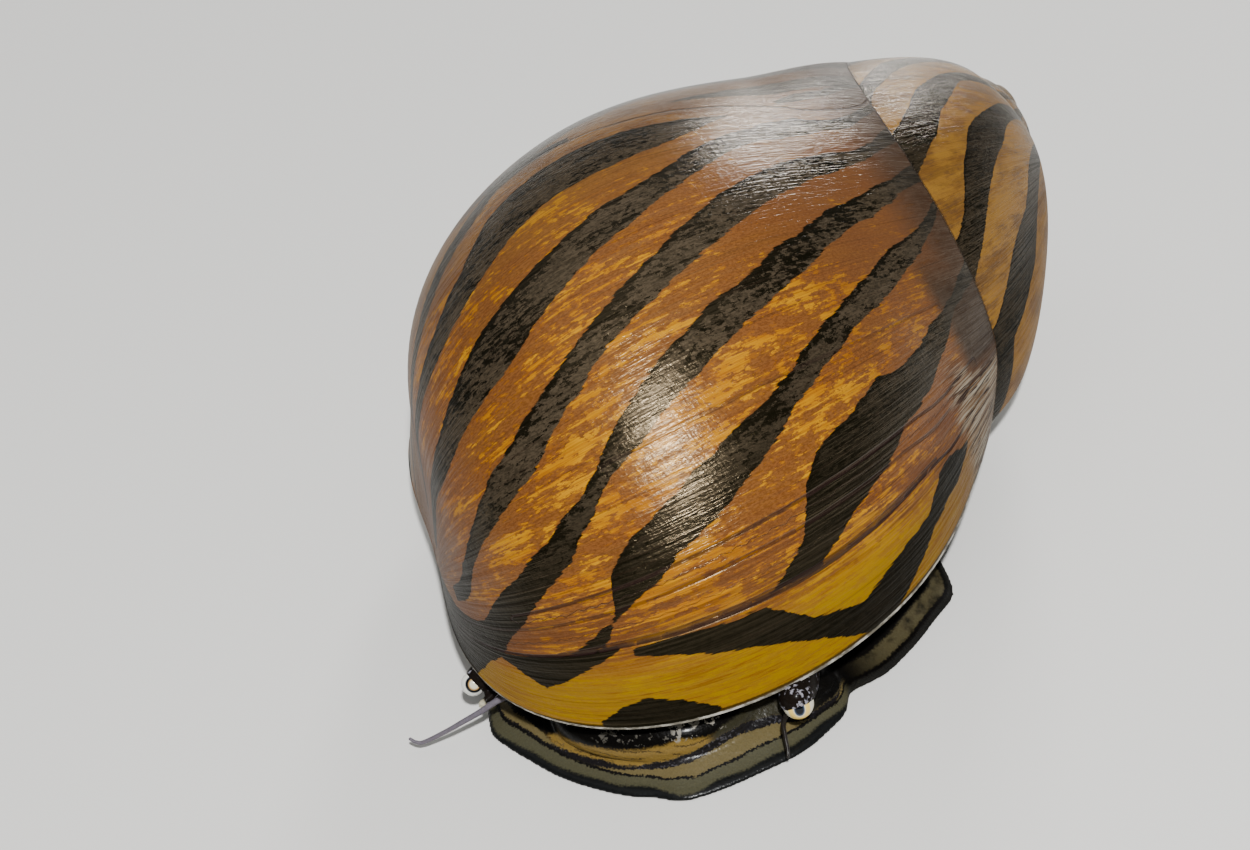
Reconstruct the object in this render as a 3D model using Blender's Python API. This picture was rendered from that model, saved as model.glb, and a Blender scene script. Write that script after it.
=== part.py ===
"""A zebra nerite at life size, crawling: shell, mantle, foot, head, eyes, tentacles and operculum.

Units are metres and +Z is up. The sole rests on z = 0 and the head looks along -Y, so +X is
the animal's left. The shell is a spiral sweep of its own mouth: each older growth line is the
mouth's outline again, turned about the coiling axis, smaller, and further along that axis.
"""

import math

import bmesh
import bpy
import numpy as np
from mathutils import Vector
from mathutils.bvhtree import BVHTree

MM = 0.001
GAP = 0.3 * MM  # between neighbouring pieces

# Where the snail stands. The mouth's centre lies this far from the origin.
MOUTH_CENTRE = (-0.64 * MM, -0.63 * MM)
LIP_HEIGHT = 2.2 * MM  # the plane of the mouth's lip, over the floor

# The mouth's outline: a circle with a little oval, triangle and square in it.
MOUTH_RADIUS = 10.0 * MM
OVAL = -0.067
TRIANGLE = 0.070
TRIANGLE_TURN = 0.587  # rad
SQUARE = -0.034
SQUARE_TURN = 0.316  # rad

# The coiling axis, from a point near the mouth's centre up through the spire.
AXIS_OFFSET = (-2.56 * MM, -0.63 * MM)
AXIS_HEADING = math.radians(45.9)  # from +X towards +Y
AXIS_RISE = math.radians(17.9)

# One whorl back, the shell is smaller by the factor exp(-SHRINK - SHRINK_MORE) and lies CLIMB higher.
SHRINK = 0.370
SHRINK_MORE = 0.091
CLIMB = 9.48 * MM
CLIMB_EASE = 0.756
APEX_LIFT = 1.0 * MM  # the oldest whorls stand this much higher, which makes a blunt cone of them
APEX_LIFT_FROM = 1.4  # whorls back
APEX_LIFT_TO = 4.0
WHORLS = 5.5

# The underside.
# Every part of the shell's outside shows from its heart. From the mouth's centre.
SHELL_HEART = (0.9 * MM, 1.6 * MM, 3.4 * MM)
REAR_SLOPE = 0.10  # the underside rises to the rear
REAR_START = 6.0 * MM  # behind the axis
UNDERSIDE_SHARES = (0.2, 0.4, 0.6, 0.8)  # rings of the underside, from its middle out
SHELL_ROWS = 30
SHELL_SECTORS = 88
HALF_SECTORS_ROWS = 9  # the top rows have half as many sectors
QUARTER_SECTORS_ROWS = 4  # and the topmost a quarter

# The mantle fills the D-shaped mouth.
LIP_WALL = 0.6 * MM
MOUTH_START = -2.30  # rad along the outline, at the front right corner
MOUTH_END = 0.60  # rad, where the lip meets the older whorl
MOUTH_DEPTH = 1.6 * MM
MANTLE_RECESS = 0.25 * MM  # the mantle's edge lies this far inside the lip
MANTLE_BEVEL = 0.25 * MM

# The foot.
FOOT_CENTRE = (0.73 * MM, -2.07 * MM)  # from the mouth's centre
FOOT_HALF_WIDTH = 7.7 * MM
FOOT_HALF_LENGTH = 9.9 * MM
FOOT_TURN = math.radians(-12)
FOOT_RIM = 0.22 * MM
FOOT_LOW = 0.75 * MM  # under the head and under the operculum
FOOT_HIGH = LIP_HEIGHT - GAP
FOOT_SLOPE = 1.5 * MM  # how far in from the rim the margin has risen
HEAD_SEAT = -5.5 * MM  # the foot is low in front of this line
TAIL_SEAT = 1.2 * MM  # and behind this one
SEAT_STEP = 0.7 * MM
FOOT_SOLE = 0.99  # the flat sole's share of the outline
FOOT_RINGS = (1.0, 0.985, 0.95, 0.91, 0.87, 0.82, 0.74, 0.65, 0.55, 0.44, 0.32, 0.19, 0.08)

# The head: a broad, flat snout under the front of the lip.
HEAD_CENTRE = (0.25 * MM, -9.35 * MM)
HEAD_HALF_WIDTH = 3.45 * MM
HEAD_HALF_DEPTH = 1.75 * MM
HEAD_TOP = LIP_HEIGHT - GAP
HEAD_ROUNDING = 0.28  # the share of its width that its upper and lower edges lose
HEAD_SQUARENESS = 3.2  # 2 is an oval, more is squarer

# Eye stalks, eyes and tentacles, from the mouth's centre, heights over the floor. The left one first.
STALK_ROOTS = ((4.85 * MM, -7.60 * MM, 1.58 * MM), (-4.15 * MM, -7.15 * MM, 1.58 * MM))
STALK_TIPS = ((4.62 * MM, -8.82 * MM, 1.56 * MM), (-4.82 * MM, -7.77 * MM, 1.56 * MM))
STALK_RADIUS = 0.72 * MM
STALK_FLATNESS = 0.44
EYE_RADIUS = 0.38 * MM
TENTACLE_ROUTES = (
    ((3.85, -9.85, 0.98), (3.93, -10.15, 0.93), (3.98, -10.45, 0.80), (3.97, -10.78, 0.62)),
    ((-3.78, -8.60, 1.36), (-4.95, -8.98, 1.22), (-6.40, -9.55, 0.95), (-7.70, -10.05, 0.62)),
)  # in mm
TENTACLE_RADIUS = 0.26 * MM
TENTACLE_TIP = 0.13 * MM

# The operculum lies on the tail.
OPERCULUM_CENTRE = (0.9 * MM, 4.35 * MM)
OPERCULUM_HALF_WIDTH = 4.6 * MM
OPERCULUM_HALF_LENGTH = 2.3 * MM
OPERCULUM_THICKNESS = 0.55 * MM

COLOURS = {
    "shell": (0.42, 0.20, 0.035, 0.25),
    "mantle": (0.012, 0.011, 0.010, 0.35),
    "foot": (0.30, 0.24, 0.13, 0.45),
    "head": (0.38, 0.30, 0.17, 0.45),
    "eye_stalk": (0.06, 0.055, 0.045, 0.40),
    "eye": (0.01, 0.015, 0.03, 0.08),
    "tentacle": (0.10, 0.09, 0.10, 0.40),
    "operculum": (0.20, 0.12, 0.08, 0.35),
}


def clear_scene():
    for obj in list(bpy.data.objects):
        bpy.data.objects.remove(obj, do_unlink=True)


def material(name):
    made = bpy.data.materials.get(name)
    if made:
        return made
    made = bpy.data.materials.new(name)
    made.use_nodes = True
    red, green, blue, roughness = COLOURS[name]
    shader = made.node_tree.nodes["Principled BSDF"]
    shader.inputs["Base Color"].default_value = (red, green, blue, 1)
    shader.inputs["Roughness"].default_value = roughness
    shader.inputs["Metallic"].default_value = 0
    return made


def add_object(name, mesh, material_name):
    """A node from a bmesh whose points count from the mouth's centre, set in its place."""
    bmesh.ops.recalc_face_normals(mesh, faces=mesh.faces)
    data = bpy.data.meshes.new(name)
    mesh.to_mesh(data)
    mesh.free()
    data.materials.append(material(material_name))
    data.shade_smooth()
    data.set_sharp_from_angle(angle=math.radians(40))
    obj = bpy.data.objects.new(name, data)
    obj.location = (*MOUTH_CENTRE, 0)
    bpy.context.scene.collection.objects.link(obj)
    return obj


def smooth_step(low, high, value):
    share = np.clip((value - low) / (high - low), 0, 1)
    return share * share * (3 - 2 * share)


def loft(rings):
    """A closed bmesh through rings, closed at both ends. A ring may have half the last one's points."""
    mesh = bmesh.new()
    loops = [[mesh.verts.new(point) for point in ring] for ring in rings]
    for lower, upper in zip(loops, loops[1:]):
        step = len(lower) // len(upper)
        for i in range(len(upper)):
            j = (i + 1) % len(upper)
            low = [lower[(i * step + k) % len(lower)] for k in range(step + 1)]
            if step == 1:
                mesh.faces.new((low[0], low[1], upper[j], upper[i]))
            else:
                mesh.faces.new((low[0], low[1], upper[i]))
                mesh.faces.new((low[1], upper[j], upper[i]))
                mesh.faces.new((low[1], low[2], upper[j]))
    mesh.faces.new(reversed(loops[0]))
    mesh.faces.new(loops[-1])
    return mesh


# The spiral of the shell.


def axis_direction():
    flat = math.cos(AXIS_RISE)
    return np.array([flat * math.cos(AXIS_HEADING), flat * math.sin(AXIS_HEADING), math.sin(AXIS_RISE)])


def axis_foot():
    return np.array([*AXIS_OFFSET, LIP_HEIGHT])


def mouth_outline(angle, inset=0.0):
    """Points of the lip, inset by a length, at angles from +X about the mouth's centre."""
    wave = 1 + OVAL * np.cos(2 * angle)
    wave = wave + TRIANGLE * np.cos(3 * (angle - TRIANGLE_TURN))
    wave = wave + SQUARE * np.cos(4 * (angle - SQUARE_TURN))
    radius = MOUTH_RADIUS * wave - inset
    height = np.full_like(radius, LIP_HEIGHT)
    return np.stack([radius * np.cos(angle), radius * np.sin(angle), height], -1)


def growth_line(whorls_back, angle):
    """The lip as it was this many whorls ago."""
    axis = axis_direction()
    arm = mouth_outline(angle) - axis_foot()
    turn = -2 * math.pi * whorls_back
    along = (arm @ axis)[:, None] * axis
    turned = (arm - along) * math.cos(turn) + np.cross(axis, arm) * math.sin(turn) + along
    size = math.exp(-SHRINK * whorls_back - SHRINK_MORE * whorls_back * whorls_back)
    climb = CLIMB * (1 - math.exp(-CLIMB_EASE * whorls_back)) / (1 - math.exp(-CLIMB_EASE))
    climb += APEX_LIFT * smooth_step(APEX_LIFT_FROM, APEX_LIFT_TO, whorls_back)
    return axis_foot() + axis * climb + turned * size


def whorl_tree():
    """The swept surface of all the whorls, to cast rays at."""
    angle = np.linspace(0, 2 * math.pi, 90, endpoint=False)
    backs = np.arange(0, WHORLS, 0.012)
    points = np.concatenate([growth_line(back, angle) for back in backs])
    count = len(angle)
    faces = []
    for start in range(0, count * (len(backs) - 1), count):
        for i in range(count):
            j = (i + 1) % count
            faces.append((start + i, start + j, start + count + j, start + count + i))
    return BVHTree.FromPolygons([Vector(point) for point in points], faces)


def rear_distance(point):
    """How far a point lies behind the coiling axis, seen from above."""
    behind = np.array([-math.sin(AXIS_HEADING), math.cos(AXIS_HEADING), 0])
    return float((point - axis_foot()) @ behind)


def underside_height(point):
    """The underside is level at the lip and rises gently to the rear."""
    return LIP_HEIGHT + REAR_SLOPE * max(rear_distance(point) - REAR_START, 0)


def outermost(tree, start, direction):
    """Where a line from inside the shell leaves it for the last time."""
    far = start + direction * 60 * MM
    hit = tree.ray_cast(Vector(far), Vector(-direction))[0]
    return start if hit is None else np.array(hit)


def lip_distance(heart, outward):
    """How far the lip lies from the heart in one direction, seen from above."""
    angle = np.linspace(0, 2 * math.pi, 721)
    arm = mouth_outline(angle)[:, :2] - heart[:2]
    side = arm @ np.array([-outward[1], outward[0]])
    ahead = arm @ outward[:2]
    crossing = (side[:-1] * side[1:] <= 0) & (ahead[:-1] > 0)
    i = int(np.argmax(crossing))
    share = side[i] / (side[i] - side[i + 1])
    return ahead[i] + (ahead[i + 1] - ahead[i]) * share


def rim_point(tree, heart, outward):
    """The point of the shell's lower edge in one direction: on the lip, or further out on an older whorl."""
    lip = lip_distance(heart, outward)
    point = heart + outward * lip
    for _ in range(4):
        start = np.array([heart[0], heart[1], underside_height(point) + 0.02 * MM])
        reach = float((outermost(tree, start, outward) - start) @ outward)
        point = heart + outward * max(reach, lip)
    point[2] = underside_height(point)
    return point


def straighten_flank(rim, flank):
    """Where the lip stands out beyond the flank above it, the flank is filled out straight down to it."""
    out = np.hypot(*(flank - rim)[:, :2].T) * np.sign((flank - rim)[:, :2] @ rim[:2])
    slope = out / (flank[:, 2] - rim[2])
    touch = int(np.argmax(slope))
    if slope[touch] >= 0:
        return flank
    shares = np.arange(1, touch + 1)[:, None] / (touch + 1)
    flank[:touch] = rim + (flank[touch] - rim) * shares
    return flank


def meridian(tree, heart, turn):
    """The shell's surface in one direction: the underside's rings, the rim, and the flank up to the top."""
    outward = np.array([math.cos(turn), math.sin(turn), 0])
    rim = rim_point(tree, heart, outward)
    points = []
    for share in UNDERSIDE_SHARES:
        point = heart + (rim - heart) * share
        points.append((point[0], point[1], underside_height(point)))
    start = math.atan2(rim[2] - heart[2], math.hypot(*(rim - heart)[:2]))
    rises = start + (math.pi / 2 - start) * np.arange(1, SHELL_ROWS) / SHELL_ROWS
    up = np.array([0, 0, 1])
    rays = [outward * math.cos(rise) + up * math.sin(rise) for rise in rises]
    flank = np.array([outermost(tree, heart, ray) for ray in rays])
    return points + [rim] + list(straighten_flank(rim, flank))


def shell_body():
    """All the whorls as one solid with no cavity, its top closed by a fan."""
    tree = whorl_tree()
    heart = np.array(SHELL_HEART) + [0, 0, LIP_HEIGHT]
    top = outermost(tree, heart, np.array([0.0, 0.0, 1.0]))
    turns = 2 * math.pi * np.arange(SHELL_SECTORS) / SHELL_SECTORS
    meridians = [meridian(tree, heart, turn) for turn in turns]
    rings = []
    for row in range(len(meridians[0])):
        from_top = len(meridians[0]) - row
        step = 1 + (from_top <= HALF_SECTORS_ROWS) + 2 * (from_top <= QUARTER_SECTORS_ROWS)
        rings.append([meridians[column][row] for column in range(0, SHELL_SECTORS, step)])
    mesh = loft(rings)
    fans = bmesh.ops.poke(mesh, faces=[face for face in mesh.faces if len(face.verts) > 4])["verts"]
    max(fans, key=lambda vert: vert.co.z).co = top
    return mesh


def mouth_ring(inset, height):
    """The D of the mouth at one height: the lip's arc, closed by the straight inner lip."""
    angle = np.linspace(MOUTH_START, MOUTH_END, 34)
    arc = mouth_outline(angle, inset)
    chord = arc[0] - arc[-1]
    inward = np.array([-chord[1], chord[0], 0]) / np.linalg.norm(chord)
    arc[[0, -1]] += inward * (inset - LIP_WALL)
    arc[:, 2] = height
    return arc


def add_shell():
    shell = add_object("shell", shell_body(), "shell")
    heights = (LIP_HEIGHT - 1 * MM, LIP_HEIGHT + MOUTH_DEPTH)
    cutter = add_object("mouth_cutter", loft([mouth_ring(LIP_WALL, height) for height in heights]), "shell")
    cutter.hide_render = True
    cutter.display_type = "WIRE"
    cut = shell.modifiers.new("mouth", "BOOLEAN")
    cut.operation = "DIFFERENCE"
    cut.solver = "EXACT"
    cut.object = cutter


def add_mantle():
    inset = LIP_WALL + GAP
    low = LIP_HEIGHT + MANTLE_RECESS
    high = LIP_HEIGHT + MOUTH_DEPTH - GAP
    rings = [
        mouth_ring(inset + MANTLE_BEVEL, low),
        mouth_ring(inset, low + MANTLE_BEVEL),
        mouth_ring(inset, high - MANTLE_BEVEL),
        mouth_ring(inset + MANTLE_BEVEL, high),
    ]
    add_object("mantle", loft(rings), "mantle")


# The soft body.


def foot_outline(scale, count=72):
    """The sole's egg-shaped outline, drawn in towards its middle by a factor."""
    turn = np.linspace(0, 2 * math.pi, count, endpoint=False)
    wide = FOOT_HALF_WIDTH * scale * np.cos(turn)
    long = FOOT_HALF_LENGTH * scale * np.sin(turn)
    x = FOOT_CENTRE[0] + wide * math.cos(FOOT_TURN) - long * math.sin(FOOT_TURN)
    y = FOOT_CENTRE[1] + wide * math.sin(FOOT_TURN) + long * math.cos(FOOT_TURN)
    return x, y


def foot_height(x, y, scale):
    """The foot's upper side: a thin rim, a slope, and low seats for the head and the operculum."""
    inside = (1 - scale) * 0.5 * (FOOT_HALF_WIDTH + FOOT_HALF_LENGTH)
    rise = smooth_step(-0.3 * FOOT_SLOPE, FOOT_SLOPE, inside)
    front = smooth_step(HEAD_SEAT - SEAT_STEP, HEAD_SEAT + SEAT_STEP, y)
    rear = 1 - smooth_step(TAIL_SEAT - SEAT_STEP, TAIL_SEAT + SEAT_STEP, y)
    top = FOOT_LOW + (FOOT_HIGH - FOOT_LOW) * front * rear
    return FOOT_RIM + (top - FOOT_RIM) * rise


def add_foot():
    rings = []
    x, y = foot_outline(FOOT_SOLE)
    rings.append(np.stack([x, y, np.zeros_like(x)], -1))
    for scale in FOOT_RINGS:
        x, y = foot_outline(scale)
        rings.append(np.stack([x, y, foot_height(x, y, scale)], -1))
    add_object("foot", loft(rings), "foot")


def squarish(turn_share):
    """A coordinate of a squarish oval, from the sine or cosine of an angle."""
    return np.sign(turn_share) * np.abs(turn_share) ** (2 / HEAD_SQUARENESS)


def add_head():
    """The snout, a rounded block lofted upwards through squarish outlines."""
    bottom = FOOT_LOW + GAP
    middle = (bottom + HEAD_TOP) / 2
    half_height = (HEAD_TOP - bottom) / 2
    turn = np.linspace(0, 2 * math.pi, 48, endpoint=False)
    rings = []
    for lift in np.linspace(-1, 1, 11):
        spread = 1 - HEAD_ROUNDING * (1 - (1 - abs(lift) ** 3) ** (1 / 3))
        x = HEAD_CENTRE[0] + HEAD_HALF_WIDTH * spread * squarish(np.cos(turn))
        y = HEAD_CENTRE[1] + HEAD_HALF_DEPTH * spread * squarish(np.sin(turn))
        rings.append(np.stack([x, y, np.full_like(turn, middle + half_height * lift)], -1))
    add_object("head", loft(rings), "head")


def tube(route, radii, sides, flatness=1.0):
    """A closed tube with round ends. Flatness is its height over its width."""
    route = np.array(route, float)
    run = np.gradient(route, axis=0)
    run = run / np.linalg.norm(run, axis=1)[:, None]
    turn = np.linspace(0, 2 * math.pi, sides, endpoint=False)
    rings = []
    last = len(route) - 1
    steps = [(0, -math.cos(a), math.sin(a)) for a in (0.25, 0.7, 1.15)]
    steps += [(i, 0.0, 1.0) for i in range(last + 1)]
    steps += [(last, math.cos(a), math.sin(a)) for a in (1.15, 0.7, 0.25)]
    for i, forward, width in steps:
        across = np.cross(run[i], [0, 0, 1])
        across = across / np.linalg.norm(across)
        up = np.cross(across, run[i])
        centre = route[i] + run[i] * radii[i] * forward
        spoke = np.cos(turn)[:, None] * across + flatness * np.sin(turn)[:, None] * up
        rings.append(centre + spoke * radii[i] * width)
    return loft(rings)


def curve_through(points, count):
    """A smooth route through a few points (a Catmull-Rom curve)."""
    points = np.array(points, float)
    padded = np.vstack([2 * points[0] - points[1], points, 2 * points[-1] - points[-2]])
    route = []
    for place in np.linspace(0, len(points) - 1, count):
        i = min(int(place), len(points) - 2)
        f = place - i
        a, b, c, d = padded[i : i + 4]
        square = 2 * a - 5 * b + 4 * c - d
        cube = 3 * b - a - 3 * c + d
        route.append(0.5 * (2 * b + (c - a) * f + square * f**2 + cube * f**3))
    return np.array(route)


def add_tentacles():
    for side, route in zip(("left", "right"), TENTACLE_ROUTES):
        path = curve_through(np.array(route) * MM, 14)
        radii = np.linspace(TENTACLE_RADIUS, TENTACLE_TIP, len(path))
        add_object(f"tentacle_{side}", tube(path, radii, 12), "tentacle")


def add_eyes():
    for side, root, tip in zip(("left", "right"), STALK_ROOTS, STALK_TIPS):
        path = np.linspace(root, tip, 6)
        radii = np.linspace(STALK_RADIUS, 0.8 * STALK_RADIUS, len(path))
        add_object(f"eye_stalk_{side}", tube(path, radii, 20, STALK_FLATNESS), "eye_stalk")
        forward = path[-1] - path[0]
        forward = forward / np.linalg.norm(forward)
        centre = path[-1] + forward * (radii[-1] + GAP + EYE_RADIUS)
        ball = bmesh.new()
        bmesh.ops.create_uvsphere(ball, u_segments=20, v_segments=12, radius=EYE_RADIUS)
        bmesh.ops.translate(ball, verts=ball.verts, vec=Vector(centre))
        add_object(f"eye_{side}", ball, "eye")


def add_operculum():
    """A D-shaped plate with rounded edges."""
    turn = np.linspace(0, 2 * math.pi, 40, endpoint=False)
    straight = np.where(np.sin(turn) < 0, 0.45, 1.0)
    bottom = FOOT_LOW + GAP
    rings = []
    for lift, spread in ((0, 0.93), (0.25, 1.0), (0.7, 1.0), (1.0, 0.9)):
        x = OPERCULUM_CENTRE[0] + OPERCULUM_HALF_WIDTH * spread * np.cos(turn)
        y = OPERCULUM_CENTRE[1] + OPERCULUM_HALF_LENGTH * spread * np.sin(turn) * straight
        height = np.full_like(turn, bottom + OPERCULUM_THICKNESS * lift)
        rings.append(np.stack([x, y, height], -1))
    add_object("operculum", loft(rings), "operculum")


def main():
    clear_scene()
    add_shell()
    add_mantle()
    add_foot()
    add_head()
    add_eyes()
    add_tentacles()
    add_operculum()


main()
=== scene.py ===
"""A zebra nerite at life size, crawling, as a Blender add-on.

Units are metres and +Z is up. The sole rests on the floor and the head looks along -Y. The shell is
the spiral sweep of its own mouth: age counts whorls back from the lip, and side is the angle round
the mouth's outline, so growth lines are lines of equal age, and each stripe is a band in age and side.
"""

import functools
import math

import bpy
import numpy as np
from mathutils import Matrix, Vector
from mathutils.bvhtree import BVHTree


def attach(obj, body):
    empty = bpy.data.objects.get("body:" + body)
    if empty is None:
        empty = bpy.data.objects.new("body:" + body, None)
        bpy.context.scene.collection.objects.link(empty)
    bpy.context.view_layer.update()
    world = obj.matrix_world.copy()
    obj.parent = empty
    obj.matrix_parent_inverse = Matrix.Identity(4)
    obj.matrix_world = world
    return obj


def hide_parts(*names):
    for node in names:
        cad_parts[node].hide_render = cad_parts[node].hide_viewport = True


bl_info = {
    "name": "Zebra nerite",
    "version": (1, 0, 0),
    "blender": (4, 5, 0),
    "location": "View3D > Sidebar > Nerite",
    "description": "Builds a crawling zebra nerite: shell, skin, eyes, operculum and a small studio",
    "category": "Add Mesh",
}

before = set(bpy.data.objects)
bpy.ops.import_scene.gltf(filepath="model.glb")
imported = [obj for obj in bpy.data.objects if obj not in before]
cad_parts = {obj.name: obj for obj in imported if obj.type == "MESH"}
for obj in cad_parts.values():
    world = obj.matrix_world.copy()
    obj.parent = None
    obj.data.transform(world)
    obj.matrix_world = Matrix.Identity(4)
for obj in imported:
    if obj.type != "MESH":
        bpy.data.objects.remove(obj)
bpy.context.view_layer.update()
MM = 0.001
WELD_REACH = 1e-4 * MM


def colour(name, description, default):
    """A colour that a user can change, as sRGB hex."""
    return bpy.props.StringProperty(name=name, description="sRGB hex of " + description, default=default)


def length(name, description, default):
    """A length in metres that a user can change."""
    return bpy.props.FloatProperty(name=name, description=description, default=default, unit="LENGTH")


def angle(name, description, default):
    """An angle that a user can change, given in degrees."""
    turn = math.radians(default)
    return bpy.props.FloatProperty(name=name, description=description, default=turn, subtype="ANGLE")


class ShellSettings(bpy.types.PropertyGroup):
    """Sizes and colours of the shell"""

    mouth_x: length("Mouth X", "Mouth's centre", -0.64e-3)
    mouth_y: length("Mouth Y", "Mouth's centre", -0.63e-3)
    lip_height: length("Lip height", "Height of the lip over the floor", 2.2e-3)
    mouth_radius: length("Mouth radius", "Mean radius of the mouth's outline", 10e-3)
    axis_heading: angle("Axis heading", "Coiling axis, from +X to +Y", 45.9)
    axis_rise: angle("Axis rise", "Slope of the coiling axis", 17.9)
    shrink: bpy.props.FloatProperty(
        name="Shrink", description="Natural log of the shrinking per whorl", default=0.370
    )
    climb: length("Climb", "Rise along the axis over the last whorl", 9.48e-3)
    columns: bpy.props.IntProperty(
        name="Columns", description="Meridians of the shell's mesh", default=400, min=40
    )
    rows: bpy.props.IntProperty(name="Rows", description="Rows from the lip to the top", default=190, min=20)
    amber: colour("Amber", "the ground", "985F03")
    ochre: colour("Ochre", "the youngest shell", "7E6000")
    rust: colour("Rust", "the thin film", "7A450F")
    gold: colour("Gold", "bright patches in it", "AC7603")
    tan: colour("Tan", "the old shell's ground", "6D5126")
    chestnut: colour("Chestnut", "the film's dark grains", "4A2A17")
    mauve: colour("Mauve", "the film over amber", "684224")
    umber: colour("Umber", "the ground towards the suture", "533725")
    black: colour("Black", "the stripes", "0A0904")
    worn: colour("Worn", "the film over black", "3F362A")
    worn_dark: colour("Dark worn", "its thin parts", "29231A")
    chalk: colour("Chalk", "bare lime", "989180")
    nacre: colour("Nacre", "the lip's edge", "A39F95")


class SkinSettings(bpy.types.PropertyGroup):
    """Sizes and colours of the foot, head and mantle"""

    foot_half_width: length("Foot half width", "Half the sole's width", 7.7e-3)
    foot_half_length: length("Foot half length", "Half the sole's length", 9.9e-3)
    voxel: length("Voxel", "Grain of the joined skin", 0.075e-3)
    kept_share: bpy.props.FloatProperty(
        name="Kept share", description="Share of faces kept after joining", default=0.5
    )
    cream: colour("Cream", "the pale bands", "403E2E")
    slate: colour("Slate", "the foot's rim", "0E0F0F")
    plum: colour("Plum", "the band by the snout", "121011")
    strip: colour("Strip", "the strip beside it", "574D31")
    # On the flanks, tan and soot are the foot's bands with the shell's shadow painted over them; soot is also
    # the mantle's own black.
    tan: colour("Tan", "the flanks' band", "46402C")
    tan_snout: colour("Snout", "the snout", "6B5628")
    soot: colour("Soot", "the mantle and flanks", "090807")
    tentacle: colour("Tentacle", "the tentacles", "5A555C")


class EyeSettings(bpy.types.PropertyGroup):
    """Sizes and colours of the eyes"""

    radius: length("Radius", "Left eye's radius", 0.48e-3)
    radius_right: length("Right radius", "Right eye's radius, more drawn in", 0.38e-3)
    pupil: colour("Pupil", "the pupil", "03070E")
    ring: colour("Ring", "the ring round it", "2C3A4E")
    white: colour("White", "the ball by the ring", "C8C4AC")
    # the right eye's rim: a painted reflection on its cornea
    ball: colour("Ball", "the rest", "DCBC5E")
    rim_reflection: colour("Silver", "the right eye's rim", "D8D8D0")
    brown: colour("Brown", "the ring round the right eye's white", "A8844E")


class StudioSettings(bpy.types.PropertyGroup):
    """The camera and the floor"""

    distance: length("Distance", "Camera to the mouth's centre", 0.1131)
    lens: bpy.props.FloatProperty(
        name="Lens", description="Focal length", default=102.07, subtype="DISTANCE_CAMERA"
    )
    azimuth: angle("Azimuth", "0 looks along +Y", 15.6)
    elevation: angle("Elevation", "Above the horizon", 39.9)
    roll: angle("Roll", "Turn of the camera about its own view", -12.1)
    floor: colour("Floor", "the floor", "DAD9D5")


# The mouth's outline: a circle with a little oval, triangle and square in it.
OVAL = -0.067
TRIANGLE = 0.070
TRIANGLE_TURN = 0.587
SQUARE = -0.034
SQUARE_TURN = 0.316
AXIS_OFFSET = (-2.56 * MM, -0.63 * MM)  # from the mouth's centre to where the coiling axis meets its plane
SHRINK_MORE = 0.091  # old whorls shrink a little faster, by this times their age squared
CLIMB_EASE = 0.756  # the climb along the axis slows down with age
APEX_LIFT = 1.0 * MM  # the oldest whorls stand out by this much
WHORLS = 5.5
SHELL_HEART = (0.9 * MM, 1.6 * MM, 3.4 * MM)  # a place inside, from which all of the shell is seen
REAR_SLOPE = 0.10  # the underside rises by this share behind REAR_START
REAR_START = 6.0 * MM
MOUTH_START = -2.30  # sides between which the lip's arc runs
MOUTH_END = 0.60
LIP_WALL = 0.6 * MM  # thickness of the shell at the lip
LIP_ROUND = 0.10 * MM  # radius of the lip's edge
# The last whorl swells where it lies on the one before, and they meet at the suture.
SUTURE_SIDE = 0.24  # its side at the lip
SUTURE_SLANT = 0.65  # and how far that moves on per whorl
SUTURE_LIFT = 0.49 * MM  # the most that it swells
WHORL_LENGTH = 60.0  # mm of shell laid down per whorl, measured round the top
WHORL_JUMP = 0.3  # a face whose corners differ by more in age bridges two whorls
SIDE_CUT = 2.9  # sides run once round from -SIDE_CUT, by the column
SPIRE_SLANT = 0.13  # how much older the spire's start is per radian of side
LAST_WHORL = 0.72  # age at which the last whorl leaves the suture
OUTSIDE = 60 * MM  # farther out than any part of the shell

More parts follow.
